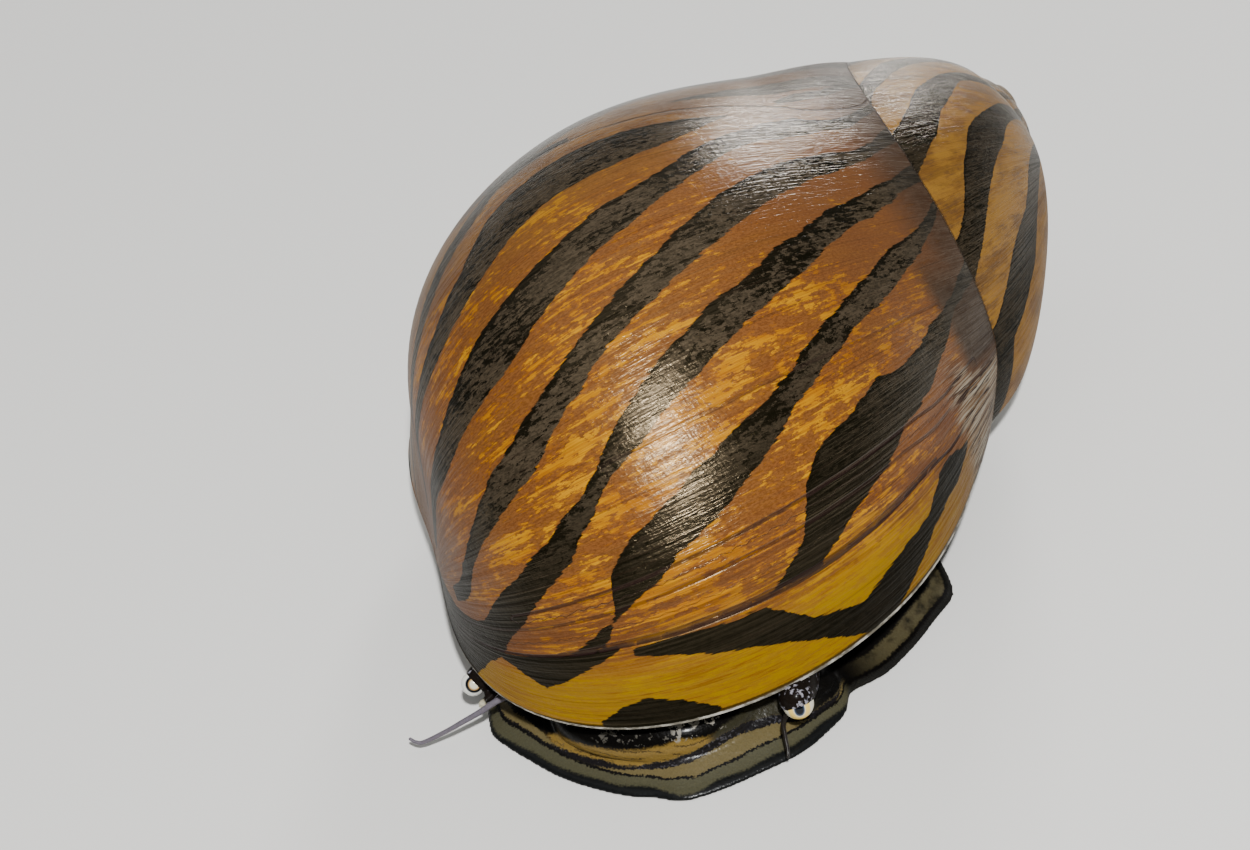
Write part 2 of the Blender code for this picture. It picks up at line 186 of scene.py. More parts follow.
# Each black stripe: (side, age of its front edge, age of its back edge), in radians and in hundredths of
# a whorl.
STRIPES = (
    # The black corner by the column, where the stripes run together.
    ((-2.90, 0.0, 30.0), (-2.60, 0.0, 24.0), (-2.30, 0.0, 11.0), (-2.14, 0.0, 7.4), (-2.07, 1.7, 6.9),
     (-2.00, 3.2, 6.7), (-1.92, 4.2, 6.9), (-1.88, 5.2, 7.4)),
    # The zigzag in the newest shell: a slanting arm, a peak at the lip, and a second arm.
    ((-1.50, 4.0, 4.5), (-1.30, 3.1, 4.4), (-1.12, 2.2, 4.1), (-1.00, 1.3, 2.5), (-0.84, 0.0, 1.8),
     (-0.72, 0.2, 2.3), (-0.58, 1.0, 2.75), (-0.45, 1.9, 2.9), (-0.30, 2.45, 4.2), (-0.23, 2.5, 4.3),
     (-0.17, 2.6, 4.0), (-0.12, 2.95, 3.75), (-0.07, 3.4, 3.75)),
    # A half moon on the lip.
    ((-1.68, 0.2, 0.4), (-1.60, 0.0, 1.4), (-1.53, 0.0, 1.7), (-1.44, 0.0, 1.3), (-1.35, 0.2, 0.4)),
    # A wedge that stands on the first rest line.
    ((-1.92, 3.9, 4.5), (-1.80, 2.4, 4.6), (-1.66, 3.6, 4.7), (-1.53, 4.5, 4.8)),
    # The long stripes, from the lip backwards.
    ((-1.10, 4.55, 4.65), (-1.03, 4.55, 5.0), (-0.97, 4.5, 5.6), (-0.92, 4.5, 6.0), (-0.88, 4.8, 6.9),
     (-0.85, 5.0, 7.4), (-0.83, 5.1, 8.0), (-0.77, 5.55, 8.7), (-0.73, 5.8, 9.1), (-0.65, 6.15, 9.45),
     (-0.53, 6.65, 9.85), (-0.43, 7.2, 10.25), (-0.37, 7.7, 10.5), (-0.27, 7.9, 10.3), (-0.16, 8.3, 10.5),
     (-0.10, 8.7, 10.7), (-0.05, 9.2, 11.1), (0.0, 9.6, 11.5), (0.04, 10.0, 11.65), (0.09, 10.65, 11.85),
     (0.13, 11.3, 12.2), (0.16, 11.7, 12.4), (0.20, 12.0, 12.9), (0.24, 12.4, 13.5), (0.29, 12.8, 14.1),
     (0.33, 13.2, 14.8), (0.50, 15.0, 17.0)),
    ((-1.65, 4.7, 4.9), (-1.59, 4.8, 5.3), (-1.55, 4.9, 5.8), (-1.52, 5.7, 5.95), (-1.49, 6.1, 6.35),
     (-1.47, 6.2, 7.3), (-1.45, 6.4, 8.1), (-1.40, 6.8, 8.8), (-1.37, 7.0, 9.1), (-1.32, 7.2, 9.55),
     (-1.27, 7.8, 9.8), (-1.22, 8.05, 10.05), (-1.10, 8.7, 10.8), (-1.02, 9.2, 11.1), (-0.93, 9.7, 11.55),
     (-0.83, 10.35, 11.9), (-0.73, 11.1, 12.35), (-0.65, 11.6, 12.8), (-0.55, 12.15, 13.45),
     (-0.43, 12.7, 14.1), (-0.33, 13.25, 14.6), (-0.25, 13.6, 15.0), (-0.16, 13.9, 15.55),
     (-0.09, 14.2, 15.9), (-0.01, 14.8, 16.5), (0.04, 15.1, 16.9), (0.10, 15.6, 17.15), (0.16, 16.1, 17.5),
     (0.20, 16.7, 17.75), (0.26, 17.5, 18.4), (0.31, 18.3, 19.1), (0.34, 19.1, 19.75), (0.50, 21.0, 22.0)),
    ((-2.06, 5.6, 6.4), (-1.95, 4.4, 6.8), (-1.92, 4.4, 7.2), (-1.89, 5.0, 7.65), (-1.86, 5.5, 8.1),
     (-1.83, 6.0, 8.5), (-1.78, 6.6, 9.0), (-1.70, 7.75, 9.65), (-1.62, 8.55, 10.3), (-1.53, 9.3, 10.9),
     (-1.47, 10.2, 11.55), (-1.40, 11.0, 12.0), (-1.33, 11.9, 12.7), (-1.28, 12.3, 13.3),
     (-1.22, 12.65, 13.9), (-1.17, 12.9, 14.45), (-1.10, 13.4, 14.9), (-1.02, 13.9, 15.55),
     (-0.93, 14.3, 16.1), (-0.82, 14.9, 16.65), (-0.72, 15.4, 17.2), (-0.60, 15.9, 17.55),
     (-0.50, 16.35, 17.95), (-0.40, 16.8, 18.65), (-0.30, 17.3, 18.95), (-0.23, 17.8, 19.4),
     (-0.16, 18.2, 19.85), (-0.09, 18.55, 20.3), (0.0, 19.1, 20.6), (0.07, 19.3, 20.95),
     (0.13, 19.75, 21.35), (0.20, 20.25, 21.8), (0.25, 20.9, 22.05), (0.32, 21.4, 22.8), (0.37, 21.9, 23.4),
     (0.40, 22.4, 24.1), (0.55, 25.0, 26.5)),
    ((-2.10, 8.0, 9.6), (-2.00, 8.45, 10.2), (-1.95, 9.1, 10.9), (-1.92, 9.8, 11.5), (-1.88, 10.65, 11.9),
     (-1.84, 11.3, 12.5), (-1.78, 12.0, 13.3), (-1.70, 12.65, 14.3), (-1.63, 13.2, 15.0),
     (-1.57, 13.55, 15.5), (-1.48, 14.1, 16.0), (-1.42, 14.65, 16.55), (-1.37, 15.2, 16.9),
     (-1.30, 15.8, 17.3), (-1.22, 16.35, 17.9), (-1.15, 17.0, 18.4), (-1.07, 17.55, 18.9),
     (-0.98, 18.0, 19.4), (-0.88, 18.45, 20.0), (-0.77, 19.0, 20.6), (-0.68, 19.4, 21.2),
     (-0.60, 19.8, 21.6), (-0.50, 20.3, 22.25), (-0.40, 20.9, 22.8), (-0.30, 21.45, 23.4),
     (-0.22, 21.85, 23.8), (-0.13, 22.25, 24.2), (-0.07, 22.65, 24.5), (0.0, 22.95, 24.75),
     (0.07, 23.2, 24.9), (0.13, 23.5, 25.0), (0.20, 23.9, 25.0), (0.25, 24.3, 25.4), (0.30, 24.9, 25.9),
     (0.35, 25.5, 26.9), (0.39, 26.0, 27.6), (0.55, 29.0, 30.5)),
    ((-2.20, 15.0, 17.0), (-1.95, 17.0, 18.6), (-1.85, 17.3, 19.0), (-1.77, 17.3, 19.4),
     (-1.68, 17.9, 19.9), (-1.60, 18.4, 20.5), (-1.48, 18.9, 21.4), (-1.38, 19.3, 22.1),
     (-1.30, 19.8, 22.5), (-1.20, 20.5, 22.9), (-1.10, 21.1, 23.35), (-1.00, 21.7, 23.75),
     (-0.90, 22.2, 24.15), (-0.80, 22.6, 24.55), (-0.70, 23.1, 24.85), (-0.62, 23.6, 25.1),
     (-0.53, 24.0, 25.5), (-0.45, 24.5, 26.0), (-0.35, 25.2, 26.7), (-0.25, 25.9, 27.3),
     (-0.15, 26.4, 27.8), (-0.10, 26.65, 28.05), (-0.03, 26.7, 28.6), (0.05, 26.95, 28.9),
     (0.10, 27.1, 29.2), (0.15, 27.3, 28.7), (0.22, 27.3, 28.6), (0.27, 27.6, 28.9), (0.32, 28.4, 29.4),
     (0.37, 29.2, 30.2), (0.41, 30.0, 30.9), (0.55, 33.0, 34.0)),
    ((-2.10, 20.2, 21.4), (-1.90, 22.0, 23.3), (-1.80, 22.7, 24.0), (-1.67, 23.2, 24.5),
     (-1.60, 23.4, 24.9), (-1.47, 23.9, 25.6), (-1.37, 24.5, 26.4), (-1.28, 25.0, 27.1),
     (-1.23, 25.3, 27.7), (-1.17, 25.7, 28.4), (-1.12, 26.0, 29.1), (-1.05, 26.4, 29.5),
     (-0.95, 26.8, 29.9), (-0.87, 27.0, 30.1), (-0.77, 27.1, 30.25), (-0.68, 27.15, 30.25),
     (-0.58, 27.4, 30.15), (-0.48, 27.6, 30.2), (-0.40, 27.9, 30.0), (-0.32, 28.3, 29.95),
     (-0.25, 28.8, 29.9), (-0.18, 29.4, 29.85), (-0.12, 29.85, 29.9)),
    ((-2.00, 24.0, 25.0), (-1.75, 25.2, 26.2), (-1.60, 26.5, 27.6), (-1.45, 27.7, 29.2),
     (-1.30, 29.2, 30.6), (-1.15, 30.3, 31.8), (-1.00, 31.8, 33.2), (-0.85, 31.9, 33.2),
     (-0.70, 31.9, 32.6)),
    ((0.10, 31.3, 31.8), (0.20, 31.6, 32.9), (0.30, 32.2, 33.2), (0.40, 33.6, 34.6), (0.55, 36.0, 37.0)),
    # On the spire, above the suture.
    ((-0.98, 91.0, 100.0), (-0.85, 93.0, 101.0), (-0.75, 94.5, 101.5), (-0.65, 97.0, 102.2),
     (-0.58, 99.5, 102.9), (-0.43, 100.4, 104.4), (-0.27, 101.6, 106.0), (-0.10, 102.8, 107.2),
     (0.07, 105.0, 108.2), (0.20, 106.8, 109.8), (0.40, 109.5, 113.0), (0.80, 115.0, 119.0),
     (1.50, 124.0, 128.0)),
    ((-0.70, 105.4, 109.0), (-0.60, 106.8, 109.6), (-0.48, 108.0, 110.8), (-0.38, 109.2, 112.2),
     (-0.28, 110.4, 113.8), (-0.18, 111.6, 115.4), (-0.07, 112.8, 116.8), (0.07, 114.4, 119.1),
     (0.20, 115.8, 120.6), (0.30, 117.0, 121.6), (0.43, 119.5, 123.2), (0.80, 125.0, 129.0),
     (1.50, 135.0, 139.0)),
    ((-0.55, 115.5, 119.0), (-0.45, 116.4, 120.2), (-0.38, 117.2, 120.8), (-0.30, 118.0, 121.7),
     (-0.20, 118.8, 122.9), (-0.10, 120.4, 124.5), (0.0, 122.0, 126.0), (0.10, 123.2, 127.2),
     (0.20, 124.8, 128.6), (0.30, 126.8, 130.1), (0.40, 129.0, 131.5), (0.80, 134.0, 137.5),
     (1.50, 144.0, 147.5)),
    ((-0.50, 122.5, 125.5), (-0.43, 123.6, 126.2), (-0.35, 125.2, 127.4), (-0.27, 126.4, 128.6),
     (-0.17, 127.6, 130.2), (0.0, 130.2, 133.4), (0.40, 136.0, 139.5), (0.80, 142.0, 145.5),
     (1.50, 152.5, 156.0)),
)
# Behind those, and round the top, stripes follow each other evenly: first age, spacing, slant, half width.
BACK_STRIPES = (0.335, 0.050, 0.052, 0.0115)
TOP_STRIPES = (1.385, 0.080, 0.130, 0.020)
SPIRE_FROM = (0.96, 1.36)  # ages at side 0 between which the spire's own stripes lie

# Rest lines, where growth stood still for a while: strength, then (side, age in hundredths of a whorl).
REST_LINES = (
    (1.0, ((-2.30, 4.4), (-1.93, 4.6), (-1.52, 4.67), (-1.35, 4.56), (-1.10, 4.45), (-0.93, 4.44),
           (-0.68, 4.56), (-0.43, 4.8), (-0.30, 4.75), (-0.20, 4.5), (-0.09, 4.51), (-0.01, 4.69),
           (0.04, 4.93), (0.09, 5.27), (0.13, 5.6), (0.17, 6.0))),
    (0.8, ((-1.70, 4.75), (-1.52, 4.87), (-1.35, 4.78), (-1.10, 4.66), (-0.93, 4.63), (-0.68, 4.76),
           (-0.43, 4.98), (-0.30, 4.95))),
    (0.6, ((-2.10, 6.22), (-1.77, 6.36), (-1.43, 6.47), (-1.10, 6.53), (-0.60, 6.56), (-0.43, 6.61),
           (-0.23, 6.3), (-0.09, 6.43), (0.0, 6.45), (0.06, 6.6))),
    (0.8, ((-1.80, 7.3), (-1.70, 7.39), (-1.35, 7.5), (-0.93, 7.61), (-0.50, 7.64), (-0.30, 7.6),
           (-0.19, 7.4), (-0.09, 7.37), (0.0, 7.53), (0.06, 7.73), (0.13, 7.96))),
    (0.35, ((-1.30, 12.85), (-0.70, 12.75), (-0.40, 12.6), (0.10, 12.5))),
    (0.8, ((-0.90, 32.3), (-0.77, 32.1), (-0.53, 31.6), (-0.30, 31.5), (-0.10, 31.2), (0.05, 31.0),
           (0.12, 30.7), (0.16, 30.2), (0.22, 30.0), (0.28, 29.97), (0.33, 30.2), (0.37, 30.6),
           (0.40, 31.0), (0.43, 31.9), (0.47, 33.2))),
)


def smooth_step(low, high, value):
    """A smooth rise from 0 to 1 as the value goes from low to high, or a fall where low is above high."""
    share = np.clip((value - low) / (high - low), 0, 1)
    return share * share * (3 - 2 * share)


def deselect():
    """Leaves nothing selected, because an operator acts on all that is."""
    bpy.ops.object.select_all(action="DESELECT")


def linear(hex_colour):
    """sRGB hex to the linear RGBA that a socket takes."""
    parts = [int(hex_colour[i : i + 2], 16) / 255 for i in (0, 2, 4)]
    return (*[p / 12.92 if p <= 0.04045 else ((p + 0.055) / 1.055) ** 2.4 for p in parts], 1)


def fill(made, inputs):
    """Links or sets a node's inputs."""
    for key, value in inputs.items():
        if isinstance(value, bpy.types.NodeSocket):
            made.id_data.links.new(value, made.inputs[key])
        else:
            made.inputs[key].default_value = value


def add_node(tree, kind, inputs=None, output=None, **settings):
    """Adds a node with its settings and inputs, and gives the named output or else the first in use."""
    made = tree.nodes.new("ShaderNode" + kind)
    for key, value in settings.items():
        setattr(made, key, value)
    fill(made, inputs or {})
    if output:
        return made.outputs[output]
    return next(socket for socket in made.outputs if socket.enabled)


def paints(settings, marks):
    """A piece's colours made linear: those that a user can change and those of its lesser marks."""
    colours = dict(marks)
    for key, kind in settings.bl_rna.properties.items():
        if kind.type == "STRING" and key != "name":
            colours[key] = getattr(settings, key)
    return {key: linear(value) for key, value in colours.items()}


def new_material(name):
    """A material, the function that adds nodes to it, and its shader."""
    made = bpy.data.materials.new(name)
    made.use_nodes = True
    return made, functools.partial(add_node, made.node_tree), made.node_tree.nodes["Principled BSDF"]


# A smooth Map Range goes from its input 3, or 0, to its input 4, or 1, as its value goes from input 1
# to input 2.
SMOOTH = {"interpolation_type": "SMOOTHSTEP"}
# A colour Mix goes from input 6 to input 7 as its share, input 0, goes from 0 to 1.
COLOURS = {"data_type": "RGBA"}
# A sum takes patterns, each times its weight. Coats of colour take a share and a colour each.
SUM = ("Math", (0, 1), 2, {"operation": "MULTIPLY_ADD"})
COATS = ("Mix", (0, 7), 6, COLOURS)


def stack(node, layout, carried, *pairs):
    """Adds like nodes in a row. Each takes a pair of its own and what the one before it gives."""
    kind, own, taken, settings = layout
    for pair in pairs:
        carried = node(kind, {taken: carried, **dict(zip(own, pair))}, **settings)
    return carried


def wrapped_sheet(name, points):
    """A grid bent into a closed shape: points[row][column], the last column on the first.

    Its seam and poles are open until they are welded.
    """
    rows, columns = points.shape[:2]
    deselect()
    bpy.ops.mesh.primitive_grid_add(x_subdivisions=columns - 1, y_subdivisions=rows - 1, size=1)
    made = bpy.context.object
    made.name = made.data.name = name
    flat = np.empty(rows * columns * 3)
    made.data.vertices.foreach_get("co", flat)
    place = flat.reshape(-1, 3)
    column = np.rint((place[:, 0] + 0.5) * (columns - 1)).astype(int)
    row = np.rint((place[:, 1] + 0.5) * (rows - 1)).astype(int)
    made.data.vertices.foreach_set("co", points[row, column].ravel())
    return made


def weld(made):
    """Merges points that lie on each other and turns the faces outwards."""
    bpy.ops.object.mode_set(mode="EDIT")
    bpy.ops.mesh.select_all(action="SELECT")
    bpy.ops.mesh.remove_doubles(threshold=WELD_REACH)
    bpy.ops.mesh.normals_make_consistent(inside=False)
    bpy.ops.object.mode_set(mode="OBJECT")


def join(parts):
    """Makes one object of the parts, under the first one's name."""
    deselect()
    for part in parts:
        part.select_set(True)
    bpy.context.view_layer.objects.active = parts[0]
    bpy.ops.object.join()
    return bpy.context.object


def apply_modifier(made, kind, **settings):
    """Adds a modifier with its settings and applies it."""
    deselect()
    made.select_set(True)
    bpy.context.view_layer.objects.active = made
    modifier = made.modifiers.new(kind.lower(), kind)
    for key, value in settings.items():
        setattr(modifier, key, value)
    bpy.ops.object.modifier_apply(modifier=modifier.name)


def store(made, name, values):
    """A number for each point, which a material reads by its name."""
    attribute = made.data.attributes.new(name, "FLOAT", "POINT")
    attribute.data.foreach_set("value", np.asarray(values, np.float32))


def points_of(made):
    """The places of a mesh's points."""
    flat = np.empty(len(made.data.vertices) * 3)
    made.data.vertices.foreach_get("co", flat)
    return flat.reshape(-1, 3)


# The shell.


def past_suture(age, side):
    """How far round the outline a side lies past the suture, in radians."""
    return (side + SIDE_CUT) % (2 * math.pi) - SIDE_CUT - SUTURE_SIDE - SUTURE_SLANT * age


def suture_lift(age, side):
    """How far the last whorl swells where it lies on the one before."""
    past = past_suture(age, side)
    swell = SUTURE_LIFT * (0.45 + 0.55 * float(smooth_step(0, 0.08, age)))
    swell *= float(smooth_step(0.75, 0.5, age))
    return swell * smooth_step(-0.40, 0.06, past) * smooth_step(1.3, 0.9, past)


class Whorls:
    """The spiral sweep of the mouth."""

    def __init__(self, shell):
        self.shell = shell
        self.centre = np.array([shell.mouth_x, shell.mouth_y, 0.0])
        flat = math.cos(shell.axis_rise)
        heading = shell.axis_heading
        self.axis = np.array([flat * math.cos(heading), flat * math.sin(heading), math.sin(shell.axis_rise)])
        self.foot = self.centre + [*AXIS_OFFSET, shell.lip_height]
        self.heart = self.centre + SHELL_HEART + [0, 0, shell.lip_height]

    def outline(self, side, inset=0.0):
        """Points of the mouth's outline, drawn in by the inset."""
        wave = 1 + OVAL * np.cos(2 * side)
        wave = wave + TRIANGLE * np.cos(3 * (side - TRIANGLE_TURN))
        wave = wave + SQUARE * np.cos(4 * (side - SQUARE_TURN))
        radius = self.shell.mouth_radius * wave - inset
        height = np.full_like(radius, self.shell.lip_height)
        arm = np.stack([radius * np.cos(side), radius * np.sin(side), height], -1)
        return arm + self.centre

    def growth_line(self, age, side):
        """The mouth's outline as it was at an age."""
        arm = self.outline(side, -suture_lift(age, side)) - self.foot
        turn = -2 * math.pi * age
        along = (arm @ self.axis)[:, None] * self.axis
        turned = (arm - along) * math.cos(turn) + np.cross(self.axis, arm) * math.sin(turn) + along
        size = math.exp(-self.shell.shrink * age - SHRINK_MORE * age * age)
        climb = self.shell.climb * (1 - math.exp(-CLIMB_EASE * age)) / (1 - math.exp(-CLIMB_EASE))
        climb += APEX_LIFT * float(smooth_step(1.4, 4.0, age))
        return self.foot + self.axis * climb + turned * size

    def sweep(self):
        """Keeps the growth lines as a grid, and as faces that rays can hit."""
        self.sides = np.linspace(0, 2 * math.pi, 180, endpoint=False)
        self.ages = np.concatenate([np.arange(0, 1.6, 0.006), np.arange(1.6, WHORLS, 0.012)])
        lines = [self.growth_line(age, self.sides) for age in self.ages]
        self.grid = np.array(lines)
        count = len(self.sides)
        faces = []
        for start in range(0, count * (len(self.ages) - 1), count):
            for i in range(count):
                j = (i + 1) % count
                faces.append((start + i, start + j, start + count + j, start + count + i))
        self.tree = BVHTree.FromPolygons([Vector(point) for line in lines for point in line], faces)

    def rear_distance(self, points):
        """How far points lie behind the coiling axis."""
        heading = self.shell.axis_heading
        return (points - self.foot) @ np.array([-math.sin(heading), math.cos(heading), 0])

    def underside(self, points):
        """Height of the shell's underside, which rises towards the rear."""
        return self.shell.lip_height + REAR_SLOPE * np.maximum(self.rear_distance(points) - REAR_START, 0)

    def outermost(self, start, direction):
        """Where the outermost whorl lies in one direction."""
        far = start + direction * OUTSIDE
        hit = self.tree.ray_cast(Vector(far), Vector(-direction))[0]
        return start if hit is None else np.array(hit)

    def lip_distance(self, outward):
        """From the heart to the mouth's outline in one direction."""
        arm = self.outline(np.linspace(0, 2 * math.pi, 1441))[:, :2] - self.heart[:2]
        across = arm @ np.array([-outward[1], outward[0]])
        ahead = arm @ outward[:2]
        i = int(np.argmax((across[:-1] * across[1:] <= 0) & (ahead[:-1] > 0)))
        share = across[i] / (across[i] - across[i + 1])
        return ahead[i] + (ahead[i + 1] - ahead[i]) * share

    def rim(self, outward):
        """Where the flank meets the underside in one direction."""
        lip = self.lip_distance(outward)
        point = self.heart + outward * lip
        for _ in range(4):
            start = np.array([*self.heart[:2], float(self.underside(point)) + 0.02 * MM])
            reach = float((self.outermost(start, outward) - start) @ outward)
            point = self.heart + outward * max(reach, lip)
        point[2] = float(self.underside(point))
        return point

    def meridian(self, turn, rows):
        """Underside, rounded rim and flank in one direction, from the middle of the underside to the top."""
        outward = np.array([math.cos(turn), math.sin(turn), 0])
        rim = self.rim(outward)
        start = math.atan2(rim[2] - self.heart[2], math.hypot(*(rim - self.heart)[:2]))
        rises = start + (math.pi / 2 - start) * np.arange(1, rows + 1) / rows
        rays = np.cos(rises)[:, None] * outward + np.sin(rises)[:, None] * np.array([0, 0, 1])
        flank = np.array([self.outermost(self.heart, ray) for ray in rays])
        flank = straighten_flank(rim, flank)
        under = [self.heart + (rim - self.heart) * share for share in (0, 0.25, 0.5, 0.7, 0.85, 0.93, 0.97)]
        under = np.array(under)
        under[:, 2] = self.underside(under)
        side = rim - outward * LIP_ROUND
        corner = side + outward * LIP_ROUND * 0.7 + [0, 0, LIP_ROUND * 0.3]
        upper = rim + [0, 0, LIP_ROUND]
        return np.vstack([under, side, corner, upper, flank])

    def coordinates(self, points):
        """(age, side) of the shell under each point, seen from the heart."""
        ages = np.empty(len(points))
        sides = np.empty(len(points))
        count = len(self.sides)
        for k, point in enumerate(points):
            ray = point - self.heart
            ray = ray / np.linalg.norm(ray)
            hit, _, index, _ = self.tree.ray_cast(Vector(self.heart + ray * OUTSIDE), Vector(-ray))
            if hit is None or ray[2] < -0.5:
                hit, _, index, _ = self.tree.find_nearest(Vector(point))
            row, column = divmod(index, count)
            here = self.grid[row, column]
            back = self.grid[row + 1, column] - here
            aside = self.grid[row, (column + 1) % count] - here
            arm = np.array(hit) - here
            normal = np.cross(aside, back)
            area = normal @ normal + 1e-30
            share_side = np.clip(np.cross(arm, back) @ normal / area, 0, 1)
            share_age = np.clip(np.cross(aside, arm) @ normal / area, 0, 1)
            ages[k] = self.ages[row] + (self.ages[row + 1] - self.ages[row]) * share_age
            sides[k] = self.sides[column] + share_side * 2 * math.pi / count
        return ages, (sides + SIDE_CUT) % (2 * math.pi) - SIDE_CUT


def straighten_flank(rim, flank):
    """Where the lip stands out beyond the flank above it, the flank is filled out straight down to it."""
    reach = (flank - rim)[:, :2]
    out = np.hypot(*reach.T) * np.sign(reach @ rim[:2])
    slope = out / (flank[:, 2] - rim[2])
    touch = int(np.argmax(slope))
    if slope[touch] >= 0:
        return flank
    shares = np.arange(1, touch + 1)[:, None] / (touch + 1)
    flank[:touch] = rim + (flank[touch] - rim) * shares
    return flank


def between_knots(stripe, sides, column):
    """An edge's age at each side, read between the edge's knots."""
    knots = np.array(stripe)
    return np.interp(sides, knots[:, 0], knots[:, column] / 100)


def stripe_depths(ages, sides):
    """How deep each point lies inside a black stripe, and how far from that stripe's back edge, both in mm.

    Outside the stripes the depth is negative.
    """
    depth = np.full(len(ages), -3.0)
    to_back = np.full(len(ages), 3.0)
    for stripe in STRIPES:
        front = between_knots(stripe, sides, 1)
        back = between_knots(stripe, sides, 2)
        inside = np.minimum(ages - front, back - ages) * WHORL_LENGTH
        ends = np.minimum(sides - stripe[0][0], stripe[-1][0] - sides) * 10
        inside = np.minimum(inside, ends)
        to_back = np.where(inside > depth, (back - ages) * WHORL_LENGTH, to_back)
        depth = np.maximum(depth, inside)
    level = ages - SPIRE_SLANT * sides
    for (first, spacing, slant, half), chosen in (
        (BACK_STRIPES, (ages > 0.33) & (level < SPIRE_FROM[0])),
        (TOP_STRIPES, level >= SPIRE_FROM[1]),
    ):
        phase = (ages - first - slant * sides) / spacing
        away = (phase - np.rint(phase)) * spacing
        even = (half - np.abs(away)) * WHORL_LENGTH
        better = chosen & (even > depth)
        to_back = np.where(better, (half - away) * WHORL_LENGTH, to_back)
        depth = np.where(better, even, depth)
    return depth, to_back


def rest_lines(ages, sides):
    """Distance in mm to the nearest rest line, signed, and that line's strength."""
    gap = np.full(len(ages), 3.0)
    strength = np.zeros(len(ages))
    for strong, line in REST_LINES:
        away = (ages - between_knots(line, sides, 1)) * WHORL_LENGTH
        beyond = np.maximum(np.maximum(line[0][0] - sides, sides - line[-1][0]), 0) * 10
        away = np.where(beyond > 0, np.hypot(away, beyond), away)
        nearer = np.abs(away) < np.abs(gap)
        gap = np.where(nearer, away, gap)
        strength = np.where(nearer, strong, strength)
    return gap, strength


def meeting_faces(made, ages):
    """Faces that bridge from one whorl to the next."""
    meets = np.zeros(len(made.data.polygons), bool)
    for face in made.data.polygons:
        corners = ages[list(face.vertices)]
        meets[face.index] = corners.max() - corners.min() > WHORL_JUMP
    return meets


def refine_suture(made, whorls, ages):
    """Cuts the faces along the suture finer and draws the new points onto the whorls."""
    count = len(made.data.vertices)
    deselect()
    made.select_set(True)
    bpy.context.view_layer.objects.active = made
    bpy.ops.object.mode_set(mode="EDIT")
    bpy.ops.mesh.select_mode(type="FACE")
    bpy.ops.mesh.select_all(action="DESELECT")
    bpy.ops.object.mode_set(mode="OBJECT")
    made.data.polygons.foreach_set("select", meeting_faces(made, ages))
    bpy.ops.object.mode_set(mode="EDIT")
    bpy.ops.mesh.subdivide(number_cuts=3)
    bpy.ops.object.mode_set(mode="OBJECT")
    place = points_of(made)
    for k in range(count, len(place)):
        arm = place[k] - whorls.heart
        far = np.linalg.norm(arm)
        reach = np.linalg.norm(whorls.outermost(whorls.heart, arm / far) - whorls.heart)
        if abs(reach - far) < SUTURE_LIFT:
            place[k] = whorls.heart + arm * (reach / far)
    made.data.vertices.foreach_set("co", place.ravel())
    made.data.update()


def suture_marks(made, ages):
    """1 where one whorl meets the next, and 0 elsewhere."""
    marks = np.zeros(len(ages))
    for face, meets in zip(made.data.polygons, meeting_faces(made, ages)):
        if meets:
            marks[list(face.vertices)] = 1
    return marks


# Noise drawn out in the shell's own growth: lengths in mm along a growth line and across it, then detail
# and roughness.
SHELL_PATTERNS = {
    "ragged": (0.12, 0.055, 3.0, 0.70),
    "flakes": (0.42, 0.17, 4.0, 0.68),
    "streaks": (2.4, 0.10, 4.0, 0.65),
    "zones": (4.5, 3.0, 2.0, 0.60),
    "patches": (1.5, 0.50, 4.0, 0.62),
    "chips": (0.26, 0.10, 3.0, 0.60),
    "veins": (0.26, 0.12, 5.0, 0.75),
    "clouds": (1.6, 0.80, 3.0, 0.60),
    "teeth": (1.6, 0.09, 2.0, 0.60),
    "waver": (0.9, 0.50, 3.0, 0.60),
    "gilding": (2.2, 0.90, 3.0, 0.60),
    "dashes": (1.3, 0.07, 4.0, 0.70),
    "threads": (1.8, 0.055, 3.0, 0.60),
    "grime": (1.6, 1.20, 4.0, 0.60),
    "striae": (9.0, 0.075, 4.0, 0.60),
    "rest_waver": (1.6, 50.0, 4.0, 0.60),
    "rest_breaks": (0.9, 50.0, 3.0, 0.60),
    "ridges": (3.0, 0.12, 4.0, 0.62),
    "cracks": (4.0, 0.42, 3.0, 0.60),
    "pearl": (0.5, 0.30, 3.0, 0.60),
    "glints": (0.45, 0.07, 2.0, 0.60),
    "cross_glints": (0.10, 0.30, 2.0, 0.60),
    "satin": (0.8, 0.25, 4.0, 0.60),
    "polish": (5.0, 0.09, 4.0, 0.60),
}
# The numbers that each point of the shell carries for its colours.
SHELL_NUMBERS = (
    "age_mm", "side_mm", "stripe_depth", "stripe_to_back", "stripe_wear", "rest_gap", "rest_strength",
    "youth", "film", "film_share", "thick_share", "thread_share", "grime_share", "halo", "umber", "smoke",
    "pale", "pale_share", "suture", "apex", "underside", "matt",
)
FILM_LEVEL = -1.21  # brings the mean of the film's patterns to 0
# sRGB hex of the shell's lesser marks.
SHELL_MARKS = {
    "dash": "5C3206",
    "film": "6E401C",
    "grime": "4A3720",
    "soot": "1C1B18",
    "soot_light": "34302A",
    "stria": "1E120C",
    "rest": "1C0F10",
    "lime_dark": "5C452E",
    "crack": "17110F",
    "suture": "15100E",
    "nacre_dark": "5E5A50",
    "glare": "FFE2B4",
}


